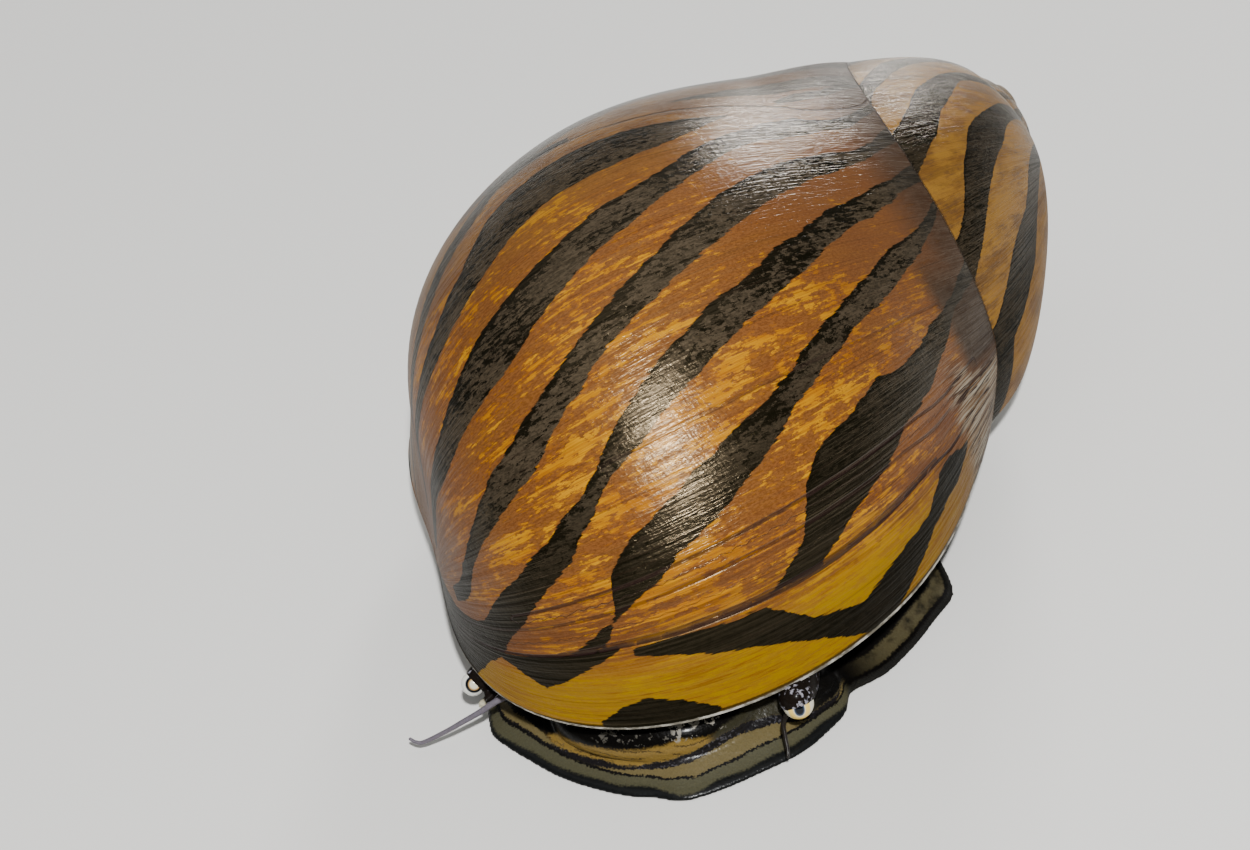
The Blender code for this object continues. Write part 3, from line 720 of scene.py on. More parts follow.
def film_covers(node, noise, point):
    """How far the horny film covers the amber, thin and thick. It wears off in sharp ragged patches."""
    patches = stack(
        node, SUM, point["film"], (noise["patches"], 0.60), (noise["flakes"], 0.75), (noise["ragged"], 0.12),
        (noise["streaks"], 0.50), (noise["zones"], 0.45),
    )
    film = node("MapRange", {0: patches, 1: -0.006, 2: 0.006}, **SMOOTH)
    thin = node("Math", {0: film, 1: point["film_share"]}, operation="MULTIPLY")
    chipped = stack(node, SUM, patches, (noise["chips"], 0.5))
    thick = node("MapRange", {0: chipped, 1: 0.282, 2: 0.298, 4: point["thick_share"]}, **SMOOTH)
    return film, thin, thick


def stripe_colours(node, noise, point, paint):
    """Where the stripes are, and their colour: black, under a grey-brown film that wears off in veins."""
    edge = stack(node, SUM, point["stripe_depth"], (noise["teeth"], 0.22), (noise["waver"], 0.20))
    dark = node("MapRange", {0: edge, 1: 0.19, 2: 0.23}, **SMOOTH)
    grains = stack(node, SUM, noise["ragged"], (noise["flakes"], 0.8))
    grains = node("MapRange", {0: grains, 1: 0.76, 2: 1.04}, **SMOOTH)
    worn = node("Mix", {0: grains, 6: paint["worn_dark"], 7: paint["worn"]}, **COLOURS)
    bare_edge = node("MapRange", {0: point["stripe_to_back"], 1: 0.26, 2: 0.04}, **SMOOTH)
    veins = stack(
        node, SUM, noise["veins"], (noise["streaks"], 0.30), (noise["clouds"], 0.55), (bare_edge, -0.15)
    )
    film = node("MapRange", {0: veins, 1: 0.880, 2: 0.900, 4: point["stripe_wear"]}, **SMOOTH)
    return dark, node("Mix", {0: film, 6: paint["black"], 7: worn}, **COLOURS)


def ground_colour(node, noise, point, paint, thin, thick, grime):
    """The amber between the stripes: ochre where it is young, filmed further back, grimy on the spire."""
    gilding = node("MapRange", {0: noise["gilding"], 1: 0.38, 2: 0.62}, **SMOOTH)
    amber = node("Mix", {0: gilding, 6: paint["amber"], 7: paint["gold"]}, **COLOURS)
    dashes = stack(node, SUM, noise["dashes"], (noise["zones"], 0.4))
    dashes = node("MapRange", {0: dashes, 1: 0.74, 2: 0.84, 4: 0.55}, **SMOOTH)
    young = node("Mix", {0: dashes, 6: paint["ochre"], 7: paint["dash"]}, **COLOURS)
    threads = node("MapRange", {0: noise["threads"], 1: 0.42, 2: 0.64, 4: point["thread_share"]}, **SMOOTH)
    grains = node("MapRange", {0: noise["ragged"], 1: 0.42, 2: 0.58}, **SMOOTH)
    film = node("Mix", {0: grains, 6: paint["chestnut"], 7: paint["mauve"]}, **COLOURS)
    halo = node("MapRange", {0: noise["streaks"], 1: 0.38, 2: 0.58, 4: point["halo"]}, **SMOOTH)
    return stack(
        node, COATS, amber,
        (point["youth"], young), (threads, paint["rust"]), (thin, paint["film"]),
        (thick, film), (point["grime_share"], grime), (point["umber"], paint["umber"]),
        (halo, paint["chestnut"]),
    )


def rest_cover(node, noise, point):
    """The rest lines: they waver, break off and fade."""
    gap = stack(node, SUM, point["rest_gap"], (noise["rest_waver"], 0.07))
    gap = node("Math", {0: gap}, operation="ABSOLUTE")
    strength = point["rest_strength"]
    breaks = node("MapRange", {0: noise["rest_breaks"], 1: 0.20, 2: 0.36, 4: strength}, **SMOOTH)
    return node("MapRange", {0: gap, 1: 0.075, 2: 0.040, 4: breaks}, **SMOOTH)


def bare_lime(node, noise, point, paint):
    """Bare lime by the suture's end: ridges along the growth lines with dark cracks between them."""
    wave = node("Math", {0: stack(node, SUM, -1.0, (noise["cracks"], 2.0))}, operation="ABSOLUTE")
    cracks = node("MapRange", {0: wave, 1: 0.10, 2: 0.02}, **SMOOTH)
    ridges = node("MapRange", {0: noise["ridges"], 1: 0.42, 2: 0.62}, **SMOOTH)
    lime = stack(
        node, COATS, paint["lime_dark"],
        (ridges, paint["chalk"]), (cracks, paint["crack"]),
    )
    worn = stack(node, SUM, point["pale"], (noise["ridges"], 1.3))
    share = node("MapRange", {0: worn, 1: 0.90, 2: 1.55, 4: point["pale_share"]}, **SMOOTH)
    return share, lime, node("Math", {0: cracks, 1: point["pale"]}, operation="MULTIPLY")


def lip_coats(node, noise, point, paint):
    """The lip's pearly edge with the dark line behind it."""
    edge = stack(node, SUM, point["age_mm"], (noise["ragged"], 0.04))
    edge = node("MapRange", {0: edge, 1: 0.13, 2: 0.10}, **SMOOTH)
    edge = node("Math", {0: edge, 1: point["underside"]}, operation="MAXIMUM")
    shadow = stack(node, SUM, point["age_mm"], (noise["ragged"], 0.06))
    shadow = node("MapRange", {0: shadow, 1: 0.24, 2: 0.18, 4: 0.85}, **SMOOTH)
    pearl = node("MapRange", {0: noise["pearl"], 1: 0.40, 2: 0.62}, **SMOOTH)
    nacre = node("Mix", {0: pearl, 6: paint["nacre_dark"], 7: paint["nacre"]}, **COLOURS)
    return (shadow, paint["black"]), (edge, nacre)


def shell_material(shell):
    """Periostracum, the shell's horny outer layer over lime, laid down in growth lines and polished by wear.

    It is amber and glossy, with fine striae; the black stripes are worn to grey-brown in flakes.
    """
    made, node, shader = new_material("nerite_periostracum")
    paint = paints(shell, SHELL_MARKS)
    point = {name: node("Attribute", output="Fac", attribute_name=name) for name in SHELL_NUMBERS}
    growth = node("CombineXYZ", {0: point["side_mm"], 1: point["age_mm"]})
    noise = {}
    for name, (along, across, detail, roughness) in SHELL_PATTERNS.items():
        size = (1 / along, 1 / across, 1)
        place = node("Mapping", {"Vector": growth, "Location": (0, 0, along), "Scale": size})
        look = {"Scale": 1.0, "Detail": detail, "Roughness": roughness}
        noise[name] = node("TexNoise", {"Vector": place, **look})

    dirt = stack(node, SUM, noise["grime"], (noise["flakes"], 0.3))
    dirt = node("MapRange", {0: dirt, 1: 0.55, 2: 0.77}, **SMOOTH)
    grime = node("Mix", {0: dirt, 6: paint["tan"], 7: paint["grime"]}, **COLOURS)
    film, thin, thick = film_covers(node, noise, point)
    ground = ground_colour(node, noise, point, paint, thin, thick, grime)
    smudges = node("MapRange", {0: noise["flakes"], 1: 0.35, 2: 0.65}, **SMOOTH)
    soot = node("Mix", {0: smudges, 6: paint["soot"], 7: paint["soot_light"]}, **COLOURS)
    striae = node("MapRange", {0: noise["striae"], 1: 0.52, 2: 0.78, 4: 0.50}, **SMOOTH)
    rest = rest_cover(node, noise, point)
    rest_share = node("Math", {0: rest, 1: 0.92}, operation="MULTIPLY")
    lime_share, lime, cracks = bare_lime(node, noise, point, paint)
    colour = stack(
        node, COATS, ground,
        stripe_colours(node, noise, point, paint), (point["smoke"], soot),
        (striae, paint["stria"]), (rest_share, paint["rest"]), (lime_share, lime),
        (point["suture"], paint["suture"]), (point["apex"], grime),
        *lip_coats(node, noise, point, paint),
    )
    # Broken ridges as wide as the striae throw the small sharp glints.
    relief = stack(
        node, SUM, noise["striae"], (rest, -1.8), (film, 0.04), (noise["glints"], 0.9),
        (noise["cross_glints"], 0.5), (cracks, -0.9),
    )
    # The polish runs in lines along the striae, and down the flanks it is gone.
    lines = node("MapRange", {0: noise["polish"], 1: 0.38, 2: 0.62, 3: 0.20, 4: 0.85}, **SMOOTH)
    shine = stack(node, SUM, 1.0, (point["matt"], -0.9))
    fill(shader, {
        "Base Color": colour,
        "Roughness": stack(node, SUM, 0.14, (noise["satin"], 0.12), (point["matt"], 0.2)),
        "Normal": node("Bump", {"Height": relief, "Strength": 0.5, "Distance": 0.035 * MM}),
        "Specular IOR Level": node("Math", {0: lines, 1: shine}, operation="MULTIPLY"),
        "Specular Tint": paint["glare"],
        "IOR": 1.40,
    })
    return made


def mark_shell(made, whorls, ages, sides):
    """Stores what the shell's colours follow, as numbers for each point."""
    place = points_of(made)
    age = ages * WHORL_LENGTH
    side = sides * 10 * np.exp(-whorls.shell.shrink * ages)
    store(made, "age_mm", age)
    store(made, "side_mm", side)
    depth, to_back = stripe_depths(ages, sides)
    store(made, "stripe_depth", depth)
    store(made, "stripe_to_back", to_back)
    gap, strength = rest_lines(ages, sides)
    store(made, "rest_gap", gap - 0.035)
    store(made, "rest_strength", strength)
    mark_ground(made, ages, age, sides, side)
    past = past_suture(ages, sides)
    last = (ages < LAST_WHORL).astype(float)
    umber = 0.55 * smooth_step(-1.0, -0.25, past) + 0.30 * smooth_step(-0.30, -0.12, past)
    umber = umber * last + 0.60 * smooth_step(-15, -20, side) * smooth_step(2, 4, age)
    store(made, "umber", np.clip(umber, 0, 0.9))
    smoke = 0.70 * smooth_step(-0.26, -0.06, past) * last * smooth_step(0.05, 0.08, ages)
    corner = smooth_step(0.04, 0.13, sides) * smooth_step(0.062, 0.080, ages) * smooth_step(0.19, 0.12, ages)
    smoke = np.maximum(smoke, 0.85 * corner * last)
    store(made, "smoke", smoke)
    pale = smooth_step(-0.20, 0.02, sides) * smooth_step(0.120, 0.060, ages) * (1 - corner)
    store(made, "pale", pale)
    store(made, "pale_share", 0.86 * pale)
    store(made, "suture", 0.6 * suture_marks(made, ages))
    store(made, "apex", 0.85 * smooth_step(2.0, 2.9, ages))
    store(made, "underside", smooth_step(0.08 * MM, 0.03 * MM, place[:, 2] - whorls.underside(place)))
    flat = np.empty(len(place) * 3)
    made.data.vertices.foreach_get("normal", flat)
    flat = flat.reshape(-1, 3)
    steep = np.maximum(smooth_step(0.55, 0.10, flat[:, 2]), 0.8 * smooth_step(-0.40, -0.75, flat[:, 0]))
    store(made, "matt", np.maximum(steep, 0.8 * smoke))


def mark_ground(made, ages, age, sides, side):
    """Stores how young, old, filmed and worn the ground is.

    The film is thickest towards the suture and towards the base.
    """
    spire = smooth_step(0.85, 0.95, ages - SPIRE_SLANT * sides)
    old = np.maximum(spire, 0.8 * smooth_step(13, 19, age))
    youth = smooth_step(3.6, 1.4, age)
    bare = 1 - 0.8 * youth
    film = 0.01 + 0.10 * smooth_step(-9, -2, side) + 0.10 * smooth_step(-13, -17, side)
    film += 0.05 * smooth_step(6, 14, age)
    wear = (1 - 0.55 * spire) * (1 - 0.8 * smooth_step(-14, -19, side))
    wear *= 0.08 + 0.92 * smooth_step(4, 9, age)
    store(made, "youth", youth)
    store(made, "thread_share", 0.60 * bare)
    store(made, "film", film - 0.25 * spire + FILM_LEVEL)
    store(made, "film_share", 0.78 * bare)
    store(made, "thick_share", (0.64 - 0.30 * old) * bare)
    store(made, "grime_share", 0.82 * old)
    store(made, "halo", 0.65 * smooth_step(1.9, 2.6, age) * smooth_step(5.2, 3.2, age))
    store(made, "stripe_wear", wear)


def mouth_ring(whorls, inset, height, steps=60):
    """The D of the mouth at one height: the lip's arc, closed by the straight inner lip."""
    arc = whorls.outline(np.linspace(MOUTH_START, MOUTH_END, steps), inset)
    chord = arc[0] - arc[-1]
    inward = np.array([-chord[1], chord[0], 0]) / np.linalg.norm(chord)
    arc[[0, -1]] += inward * (inset - LIP_WALL)
    arc[:, 2] = height
    return arc


class NERITE_OT_shell(bpy.types.Operator):
    """Build the striped shell: a grid drawn over the swept whorls and closed by its underside"""

    bl_idname = "nerite.shell"
    bl_label = "Shell"

    def execute(self, context):
        shell = context.scene.nerite_shell
        whorls = Whorls(shell)
        whorls.sweep()
        turns = np.linspace(0, 2 * math.pi, shell.columns + 1)
        meridians = [whorls.meridian(turn, shell.rows) for turn in turns[:-1]]
        points = np.array(meridians + meridians[:1]).transpose(1, 0, 2)
        made = wrapped_sheet("nerite_shell", points)
        weld(made)
        place = points_of(made)
        ages, sides = whorls.coordinates(place)
        refine_suture(made, whorls, ages)
        count = len(place)
        place = points_of(made)
        more_ages, more_sides = whorls.coordinates(place[count:])
        ages = np.concatenate([ages, more_ages])
        sides = np.concatenate([sides, more_sides])
        mark_shell(made, whorls, ages, sides)
        deselect()
        made.select_set(True)
        bpy.ops.object.shade_smooth_by_angle(angle=math.radians(50))
        made.data.materials.append(shell_material(shell))
        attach(made, "root")
        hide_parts("shell")
        return {"FINISHED"}


# The skin.

FOOT_CENTRE = (0.73 * MM, -2.07 * MM)  # from the mouth's centre
FOOT_TURN = math.radians(-12)  # the foot lies turned against the shell
EDGE_NEARNESS = 0.93  # distance to the foot's edge, over the distance to it along the oval's radius
RISE_SHARE = 0.81  # mm further in that a point counts per mm over the foot's own height
# The foot's edge, in mm out from an oval: (turn round the foot in degrees, how far out). It has a lobe in
# front of each eye, and behind that a notch where the flank begins.
FOOT_EDGE = (
    (-180, -0.15), (-156, -0.62), (-148, -0.60), (-140, -0.20), (-134, -0.15), (-130, 0.04), (-125, 0.30),
    (-119, 0.14), (-112, 0.00), (-94, 0.01), (-85, 0.13), (-79, 0.15), (-76, 0.33), (-73, 0.44),
    (-70, 0.36), (-64, 0.22), (-57, 0.06), (-46, 0.02), (-39, -0.20), (-33.5, -0.36), (-31, -0.95),
    (-27, -0.70), (-22, -0.40), (-14, -0.25), (-5, -0.10), (1, 0.16), (5, -0.20), (12, -0.85), (30, -1.40),
    (60, -0.90), (90, -0.20), (120, -0.60), (150, -1.00), (168, -0.75), (180, -0.15),
)
# Bands of colour along the foot, in mm in from its edge along the skin, for turns in degrees: the slate rim's
# inner edge, a thin black line, the inner edge of a tan strip beside it, a slate band, and the inner edge
# of the tan folds of the snout behind that band. Everything further in is black.
FOOT_BANDS = (
    (-180, 0.20, 0.50, 0.80, 0.60, 0.90), (-135, 0.12, 0.40, 0.70, 0.50, 0.70),
    (-131, 0.10, 0.36, 0.60, 0.42, 0.60), (-126, 0.14, 0.54, 0.85, 0.60, 0.85),
    (-122, 0.17, 0.60, 0.90, 0.68, 0.90), (-118, 0.22, 0.61, 0.90, 0.68, 0.90),
    (-112, 0.26, 0.60, 0.80, 0.67, 0.84), (-108, 0.25, 0.60, 0.72, 0.70, 1.05),
    (-104, 0.26, 0.60, 0.76, 0.75, 1.15), (-94, 0.29, 0.58, 0.82, 0.81, 1.23),
    (-88, 0.26, 0.59, 0.80, 0.79, 1.33), (-82, 0.34, 0.61, 0.92, 0.91, 1.41),
    (-78, 0.24, 0.57, 1.03, 1.02, 1.52), (-74, 0.17, 0.70, 1.26, 1.25, 1.76),
    (-70, 0.15, 0.62, 1.34, 1.33, 1.68), (-66, 0.32, 0.68, 1.45, 1.44, 1.60),
    (-63, 0.32, 0.69, 1.54, 1.53, 1.76), (-59, 0.27, 0.70, 1.54, 1.53, 1.86),
    (-56, 0.32, 0.71, 1.46, 1.45, 1.86), (-51, 0.33, 0.70, 1.36, 1.35, 1.72),
    (-46, 0.34, 0.68, 1.05, 1.04, 1.45), (-41, 0.36, 0.60, 0.76, 0.75, 1.20),
    (-37, 0.22, 0.50, 0.68, 0.67, 1.05), (-33, 0.12, 0.36, 0.52, 0.50, 0.90),
    (180, 0.20, 0.50, 0.80, 0.60, 0.90),
)
# How wide the slate band is, in mm: (turn in degrees, width).
BAND_WIDTH = (
    (-135, 0.00), (-131, 0.10), (-126, 0.13), (-110, 0.13), (-104, 0.15), (-95, 0.20), (-90, 0.12),
    (-86, 0.09), (-82, 0.14), (-76, 0.22), (-65, 0.30), (-56, 0.28), (-50, 0.25), (-44, 0.20), (-36, 0.16),
    (-33, 0.05),
)


def foot_edge(turn):
    """How far the foot's edge stands out from its oval at that turn, evened out."""
    fine = np.arange(-200, 201)
    knots = np.array(FOOT_EDGE)
    reach = np.interp((fine + 180) % 360 - 180, knots[:, 0], knots[:, 1])
    even = np.convolve(reach, np.hanning(9) / np.hanning(9).sum(), mode="same")
    return np.interp(np.degrees(turn), fine, even) * MM


def foot_ring(whorls, skin, inset, steps=361):
    """The foot's outline drawn in by a share of its width."""
    turn = np.linspace(-math.pi, math.pi, steps)
    out = foot_edge(turn)
    wide = (skin.foot_half_width + out) * np.cos(turn) * (1 - inset)
    long = (skin.foot_half_length + out) * np.sin(turn) * (1 - inset)
    x = whorls.centre[0] + FOOT_CENTRE[0] + wide * math.cos(FOOT_TURN) - long * math.sin(FOOT_TURN)
    y = whorls.centre[1] + FOOT_CENTRE[1] + wide * math.sin(FOOT_TURN) + long * math.cos(FOOT_TURN)
    return x, y


def foot_turn_and_margin(whorls, skin, place):
    """For each point, its turn round the foot and its distance in mm in from the edge."""
    local = place - whorls.centre - [*FOOT_CENTRE, 0]
    wide = local[:, 0] * math.cos(FOOT_TURN) + local[:, 1] * math.sin(FOOT_TURN)
    long = -local[:, 0] * math.sin(FOOT_TURN) + local[:, 1] * math.cos(FOOT_TURN)
    turn = np.arctan2(long / skin.foot_half_length, wide / skin.foot_half_width)
    out = foot_edge(turn)
    share = np.hypot(wide / (skin.foot_half_width + out), long / (skin.foot_half_length + out))
    reach = np.hypot(wide, long) / np.maximum(share, 1e-6)
    return turn, (1 - share) * reach * EDGE_NEARNESS * 1000


def foot_height(inside):
    """Height of the foot's upper side at a distance in from its edge, in metres."""
    height = 0.09 * MM + 0.10 * MM * smooth_step(0, 0.15 * MM, inside)
    height = height + 0.55 * MM * smooth_step(0.1 * MM, 1.6 * MM, inside)
    return height + 1.15 * MM * smooth_step(1.2 * MM, 2.6 * MM, inside)


def foot_piece(whorls, skin):
    """The sole with its thin margin, rising to the body."""
    mean = 0.5 * (skin.foot_half_width + skin.foot_half_length)
    rings = []
    for inset in (1.0, 0.5, 0.02, 0.006):
        x, y = foot_ring(whorls, skin, inset)
        rings.append(np.stack([x, y, np.full_like(x, 0.03 * MM if inset == 0.006 else 0)], -1))
    for inset in np.concatenate([[0.0, 0.004], np.linspace(0.012, 0.2, 24), np.linspace(0.23, 1.0, 12)]):
        x, y = foot_ring(whorls, skin, inset)
        rings.append(np.stack([x, y, np.full_like(x, float(foot_height(inset * mean)))], -1))
    made = wrapped_sheet("skin_foot", np.array(rings))
    weld(made)
    return made


def column_piece(whorls):
    """The body between the foot and the shell's mouth, with the mantle's edge along the lip."""
    levels = (
        (4.5, 0.4), (2.4, 0.5), (1.8, 1.2), (1.2, 1.62), (0.74, 1.80), (0.46, 1.98), (0.50, 2.17),
        (0.74, 2.32), (0.92, 2.7), (1.0, 3.3), (4.5, 3.4),
    )
    rings = []
    for inset, height in levels:
        ring = mouth_ring(whorls, inset * MM, height * MM, 160)
        rings.append(np.vstack([ring, ring[:1]]))
    rings = np.array(rings)
    middle = rings.mean(1, keepdims=True)
    first = np.repeat(middle[:1], rings.shape[1], 1)
    last = np.repeat(middle[-1:], rings.shape[1], 1)
    made = wrapped_sheet("skin_column", np.concatenate([first, rings, last]))
    weld(made)
    return made


def snout_piece(centre, half):
    """The broad snout, a low dome that slopes down to the foot in front."""
    lift = np.linspace(-1, 1, 25)
    turn = np.linspace(0, 2 * math.pi, 97)
    spread = np.sqrt(1 - (np.maximum(lift + 0.55, 0) / SNOUT_DOME) ** 2)
    spread[[0, -1]] = 0
    points = np.stack(
        [
            centre[0] + half[0] * spread[:, None] * np.cos(turn),
            centre[1] + half[1] * spread[:, None] * np.sin(turn),
            centre[2] + half[2] * lift[:, None] * np.ones_like(turn),
        ],
        -1,
    )
    made = wrapped_sheet("skin_snout", points)
    weld(made)
    return made


def curve_through(points, count):
    """A smooth route through a few points."""
    points = np.array(points, float)
    padded = np.vstack([2 * points[0] - points[1], points, 2 * points[-1] - points[-2]])
    route = []
    for place in np.linspace(0, len(points) - 1, count):
        i = min(int(place), len(points) - 2)
        f = place - i
        a, b, c, d = padded[i : i + 4]
        square = 2 * a - 5 * b + 4 * c - d
        cube = 3 * b - a - 3 * c + d
        route.append(0.5 * (2 * b + (c - a) * f + square * f**2 + cube * f**3))
    return np.array(route)


def tube_piece(name, route, radii):
    """A closed tube with round ends."""
    run = np.gradient(route, axis=0)
    run = run / np.linalg.norm(run, axis=1)[:, None]
    turn = np.linspace(0, 2 * math.pi, 33)
    last = len(route) - 1
    steps = [(0, -math.cos(a), math.sin(a)) for a in np.linspace(0, 1.4, 6)]
    steps += [(i, 0.0, 1.0) for i in range(last + 1)]
    steps += [(last, math.cos(a), math.sin(a)) for a in np.linspace(1.4, 0, 6)]
    rings = []
    for i, forward, width in steps:
        across = np.cross(run[i], [0, 0, 1])
        across = across / np.linalg.norm(across)
        up = np.cross(across, run[i])
        spoke = np.cos(turn)[:, None] * across + np.sin(turn)[:, None] * up
        rings.append(route[i] + run[i] * radii[i] * forward + spoke * radii[i] * width)
    made = wrapped_sheet(name, np.array(rings))
    weld(made)
    return made


# Places and routes in mm from the mouth's centre, with heights over the floor.
SNOUT_CENTRE = (-0.25, -8.95, 1.22)
SNOUT_HALF = (3.2, 2.10, 0.66)  # half its width, length and height
SNOUT_DOME = 1.70  # how slowly its sides draw in upwards
EYE_PLACES = {"eye_left": (4.37, -9.70, 1.60), "eye_right": (-5.86, -8.52, 1.56)}
# Each stalk ends over its eye, whose lower front it leaves bare.
STALK_ROUTES = (
    ((4.05, -7.9, 1.42), (4.27, -8.8, 1.60), (4.32, -9.62, 1.755)),
    ((-4.3, -7.1, 1.50), (-5.0, -7.75, 1.62), (-5.66, -8.36, 1.66)),
)
STALK_RADII = ((0.74, 0.53), (0.70, 0.45))  # at the root and at the end
TENTACLE_ROUTES = (
    ((4.15, -9.35, 1.30), (3.93, -10.07, 1.22), (3.97, -10.42, 1.00), (4.05, -10.75, 0.74),
     (4.06, -10.93, 0.60)),
    ((-3.9, -8.5, 1.50), (-4.93, -9.11, 1.45), (-5.57, -9.40, 1.20), (-6.16, -9.65, 1.00),
     (-6.62, -9.78, 0.80), (-7.36, -9.95, 0.52), (-7.62, -9.97, 0.53), (-7.80, -9.92, 0.62)),
)
TENTACLE_RADII = ((0.085, 0.05), (0.11, 0.05))
# The knob is painted pale as a highlight on wet skin.
HIGHLIGHT_KNOB = ((-5.1, -8.6, 1.35), (-5.57, -9.05, 1.18))  # a small pale knob by the right eye

COMB_PITCH = 0.10  # mm between the flank's upright ridges
# Noise in the skin: size in mm, detail.
SKIN_PATTERNS = {
    "sway": (0.9, 4.0),
    "fray": (0.07, 3.0),
    "grain": (0.06, 2.0),
    "line_breaks": (0.35, 3.0),
    "fold_sway": (1.3, 3.0),
    "fold_breaks": (0.5, 2.0),
    "dirt": (0.10, 2.0),
    "dirt_clouds": (0.8, 1.0),
    "flank": (0.5, 4.0),
    "specks": (0.12, 3.0),
    "speck_clouds": (0.7, 1.0),
    "mantle": (0.7, 3.0),
    "blotches": (0.14, 4.0),
    "blotch_clouds": (0.6, 1.0),
    "bumps": (0.13, 3.0),
}
# What each point of the skin carries: distances in mm in from the foot's edge and from its bands' edges.
SKIN_DISTANCES = ("margin", "past_rim", "past_line", "past_strip", "past_band", "past_fold", "past_band_far")
SKIN_NUMBERS = (
    "along", "flank", "shaded_flank_band", "height", "snout", "khaki", "blotches", "blotch_share", "stalk", "flesh",
    "tentacle_left", "tentacle_right", "highlight_knob",
)
# sRGB hex of the skin's lesser marks.
SKIN_MARKS = {
    "crease": "1E150C",
    "khaki": "2A281D",
    "dirt": "5C5A60",
    "comb": "4A4944",
    # the comb's pale teeth are painted glints on the flank's ridges
    "stalk": "14100D",
    "speck": "7E7C84",
    "blotch": "77736A",
    "left_tentacle": "1D1A17",
    # painted highlight on the knob by the right eye
    "highlight_knob": "A9A38C",
}


def snout_folds(node, noise, past, paint):
    """Where the snout's folds lie, their creases, and their tan colour with the creases in it."""
    inside = node("MapRange", {0: past["past_fold"], 1: 0.07, 2: -0.07}, **SMOOTH)
    folds = node("MapRange", {0: past["past_strip"], 1: -0.02, 2: 0.02, 4: inside}, **SMOOTH)
    wave = stack(node, SUM, noise["fold_sway"], (past["margin"], 4.2))
    wave = node("Math", {0: wave, 1: 0.5}, operation="PINGPONG")
    breaks = node("MapRange", {0: noise["fold_breaks"], 1: 0.35, 2: 0.55}, **SMOOTH)
    creases = node("MapRange", {0: wave, 1: 0.12, 2: 0.02, 4: breaks}, **SMOOTH)
    share = node("Math", {0: creases, 1: 0.7}, operation="MULTIPLY")
    colour = stack(node, COATS, paint["tan_snout"], (share, paint["crease"]))
    return folds, creases, colour


def foot_coats(node, noise, point, past, paint):
    """The coats of colour over the slate rim: cream, tan strip, snout's folds, plum band and black line."""
    soot = paint["soot"]
    cream = node("MapRange", {0: past["past_rim"], 1: -0.06, 2: 0.06}, **SMOOTH)
    before = node("MapRange", {0: past["past_strip"], 1: 0.025, 2: -0.025}, **SMOOTH)
    strip = node("MapRange", {0: past["past_line"], 1: -0.02, 2: 0.02, 4: before}, **SMOOTH)
    behind = node("MapRange", {0: past["past_strip"], 1: -0.025, 2: 0.025}, **SMOOTH)
    folds, creases, snout = snout_folds(node, noise, past, paint)
    on_snout = node("Math", {0: folds, 1: point["snout"]}, operation="MULTIPLY")
    beside_it = node("Math", {0: folds, 1: point["khaki"]}, operation="MULTIPLY")
    near = node("MapRange", {0: past["past_band_far"], 1: 0.0, 2: 0.03}, **SMOOTH)
    band = node("MapRange", {0: past["past_band"], 1: 0.02, 2: -0.02, 4: near}, **SMOOTH)
    dirt = stack(node, SUM, noise["dirt"], (noise["dirt_clouds"], 0.5))
    dirt = node("MapRange", {0: dirt, 1: 0.88, 2: 0.96, 4: 0.35}, **SMOOTH)
    plum = node("Mix", {0: dirt, 6: paint["plum"], 7: paint["dirt"]}, **COLOURS)
    gap = node("Math", {0: past["past_line"]}, operation="ABSOLUTE")
    breaks = node("MapRange", {0: noise["line_breaks"], 1: 0.30, 2: 0.40}, **SMOOTH)
    line = node("MapRange", {0: gap, 1: 0.05, 2: 0.025, 4: breaks}, **SMOOTH)
    coats = (
        (cream, paint["cream"]), (strip, paint["strip"]), (behind, soot), (on_snout, snout),
        (beside_it, paint["khaki"]), (band, plum), (line, soot),
    )
    return coats, node("Math", {0: creases, 1: folds}, operation="MULTIPLY")


def shaded_flank_colour(node, noise, point, past, comb, paint):
    """The flank in the shell's painted shadow: black with a tan band, and fine pale comb teeth along its edge
    as painted glints.
    """
    patchy = node("MapRange", {0: noise["flank"], 1: 0.20, 2: 0.50, 4: point["shaded_flank_band"]}, **SMOOTH)
    inner = node("MapRange", {0: past["margin"], 1: 0.82, 2: 0.72, 4: patchy}, **SMOOTH)
    tan = node("MapRange", {0: past["margin"], 1: 0.28, 2: 0.36, 4: inner}, **SMOOTH)
    by_edge = node("MapRange", {0: past["margin"], 1: 0.24, 2: 0.14, 4: 0.5}, **SMOOTH)
    # Pale teeth painted along the ridges as glints.
    teeth = node("MapRange", {0: comb, 1: 0.70, 2: 0.96, 4: by_edge}, **SMOOTH)
    return stack(node, COATS, paint["soot"], (tan, paint["tan"]), (teeth, paint["comb"]))


def upper_coats(node, noise, point, paint):
    """The coats over stalks, mantle and feelers: specks, soot, a cluster of pale blotches, and the knob's
    painted highlight.
    """
    specks = stack(node, SUM, noise["specks"], (noise["speck_clouds"], 0.50))
    specks = node("MapRange", {0: specks, 1: 0.85, 2: 0.91}, **SMOOTH)
    stalk = stack(node, COATS, paint["stalk"], (specks, paint["speck"]))
    rise = stack(node, SUM, point["height"], (noise["mantle"], 0.5))
    mantle = node("MapRange", {0: rise, 1: 1.51, 2: 1.63, 4: point["flesh"]}, **SMOOTH)
    clusters = stack(node, SUM, noise["blotches"], (noise["blotch_clouds"], 0.60), (point["blotches"], 0.12))
    blotches = node("MapRange", {0: clusters, 1: 0.93, 2: 0.97, 4: point["blotch_share"]}, **SMOOTH)
    blotches = node("MapRange", {0: rise, 1: 1.39, 2: 1.49, 4: blotches}, **SMOOTH)
    return (
        (point["stalk"], stalk), (mantle, paint["soot"]), (blotches, paint["blotch"]),
        (point["tentacle_left"], paint["left_tentacle"]),
        (point["tentacle_right"], paint["tentacle"]), (point["highlight_knob"], paint["highlight_knob"]),
    )


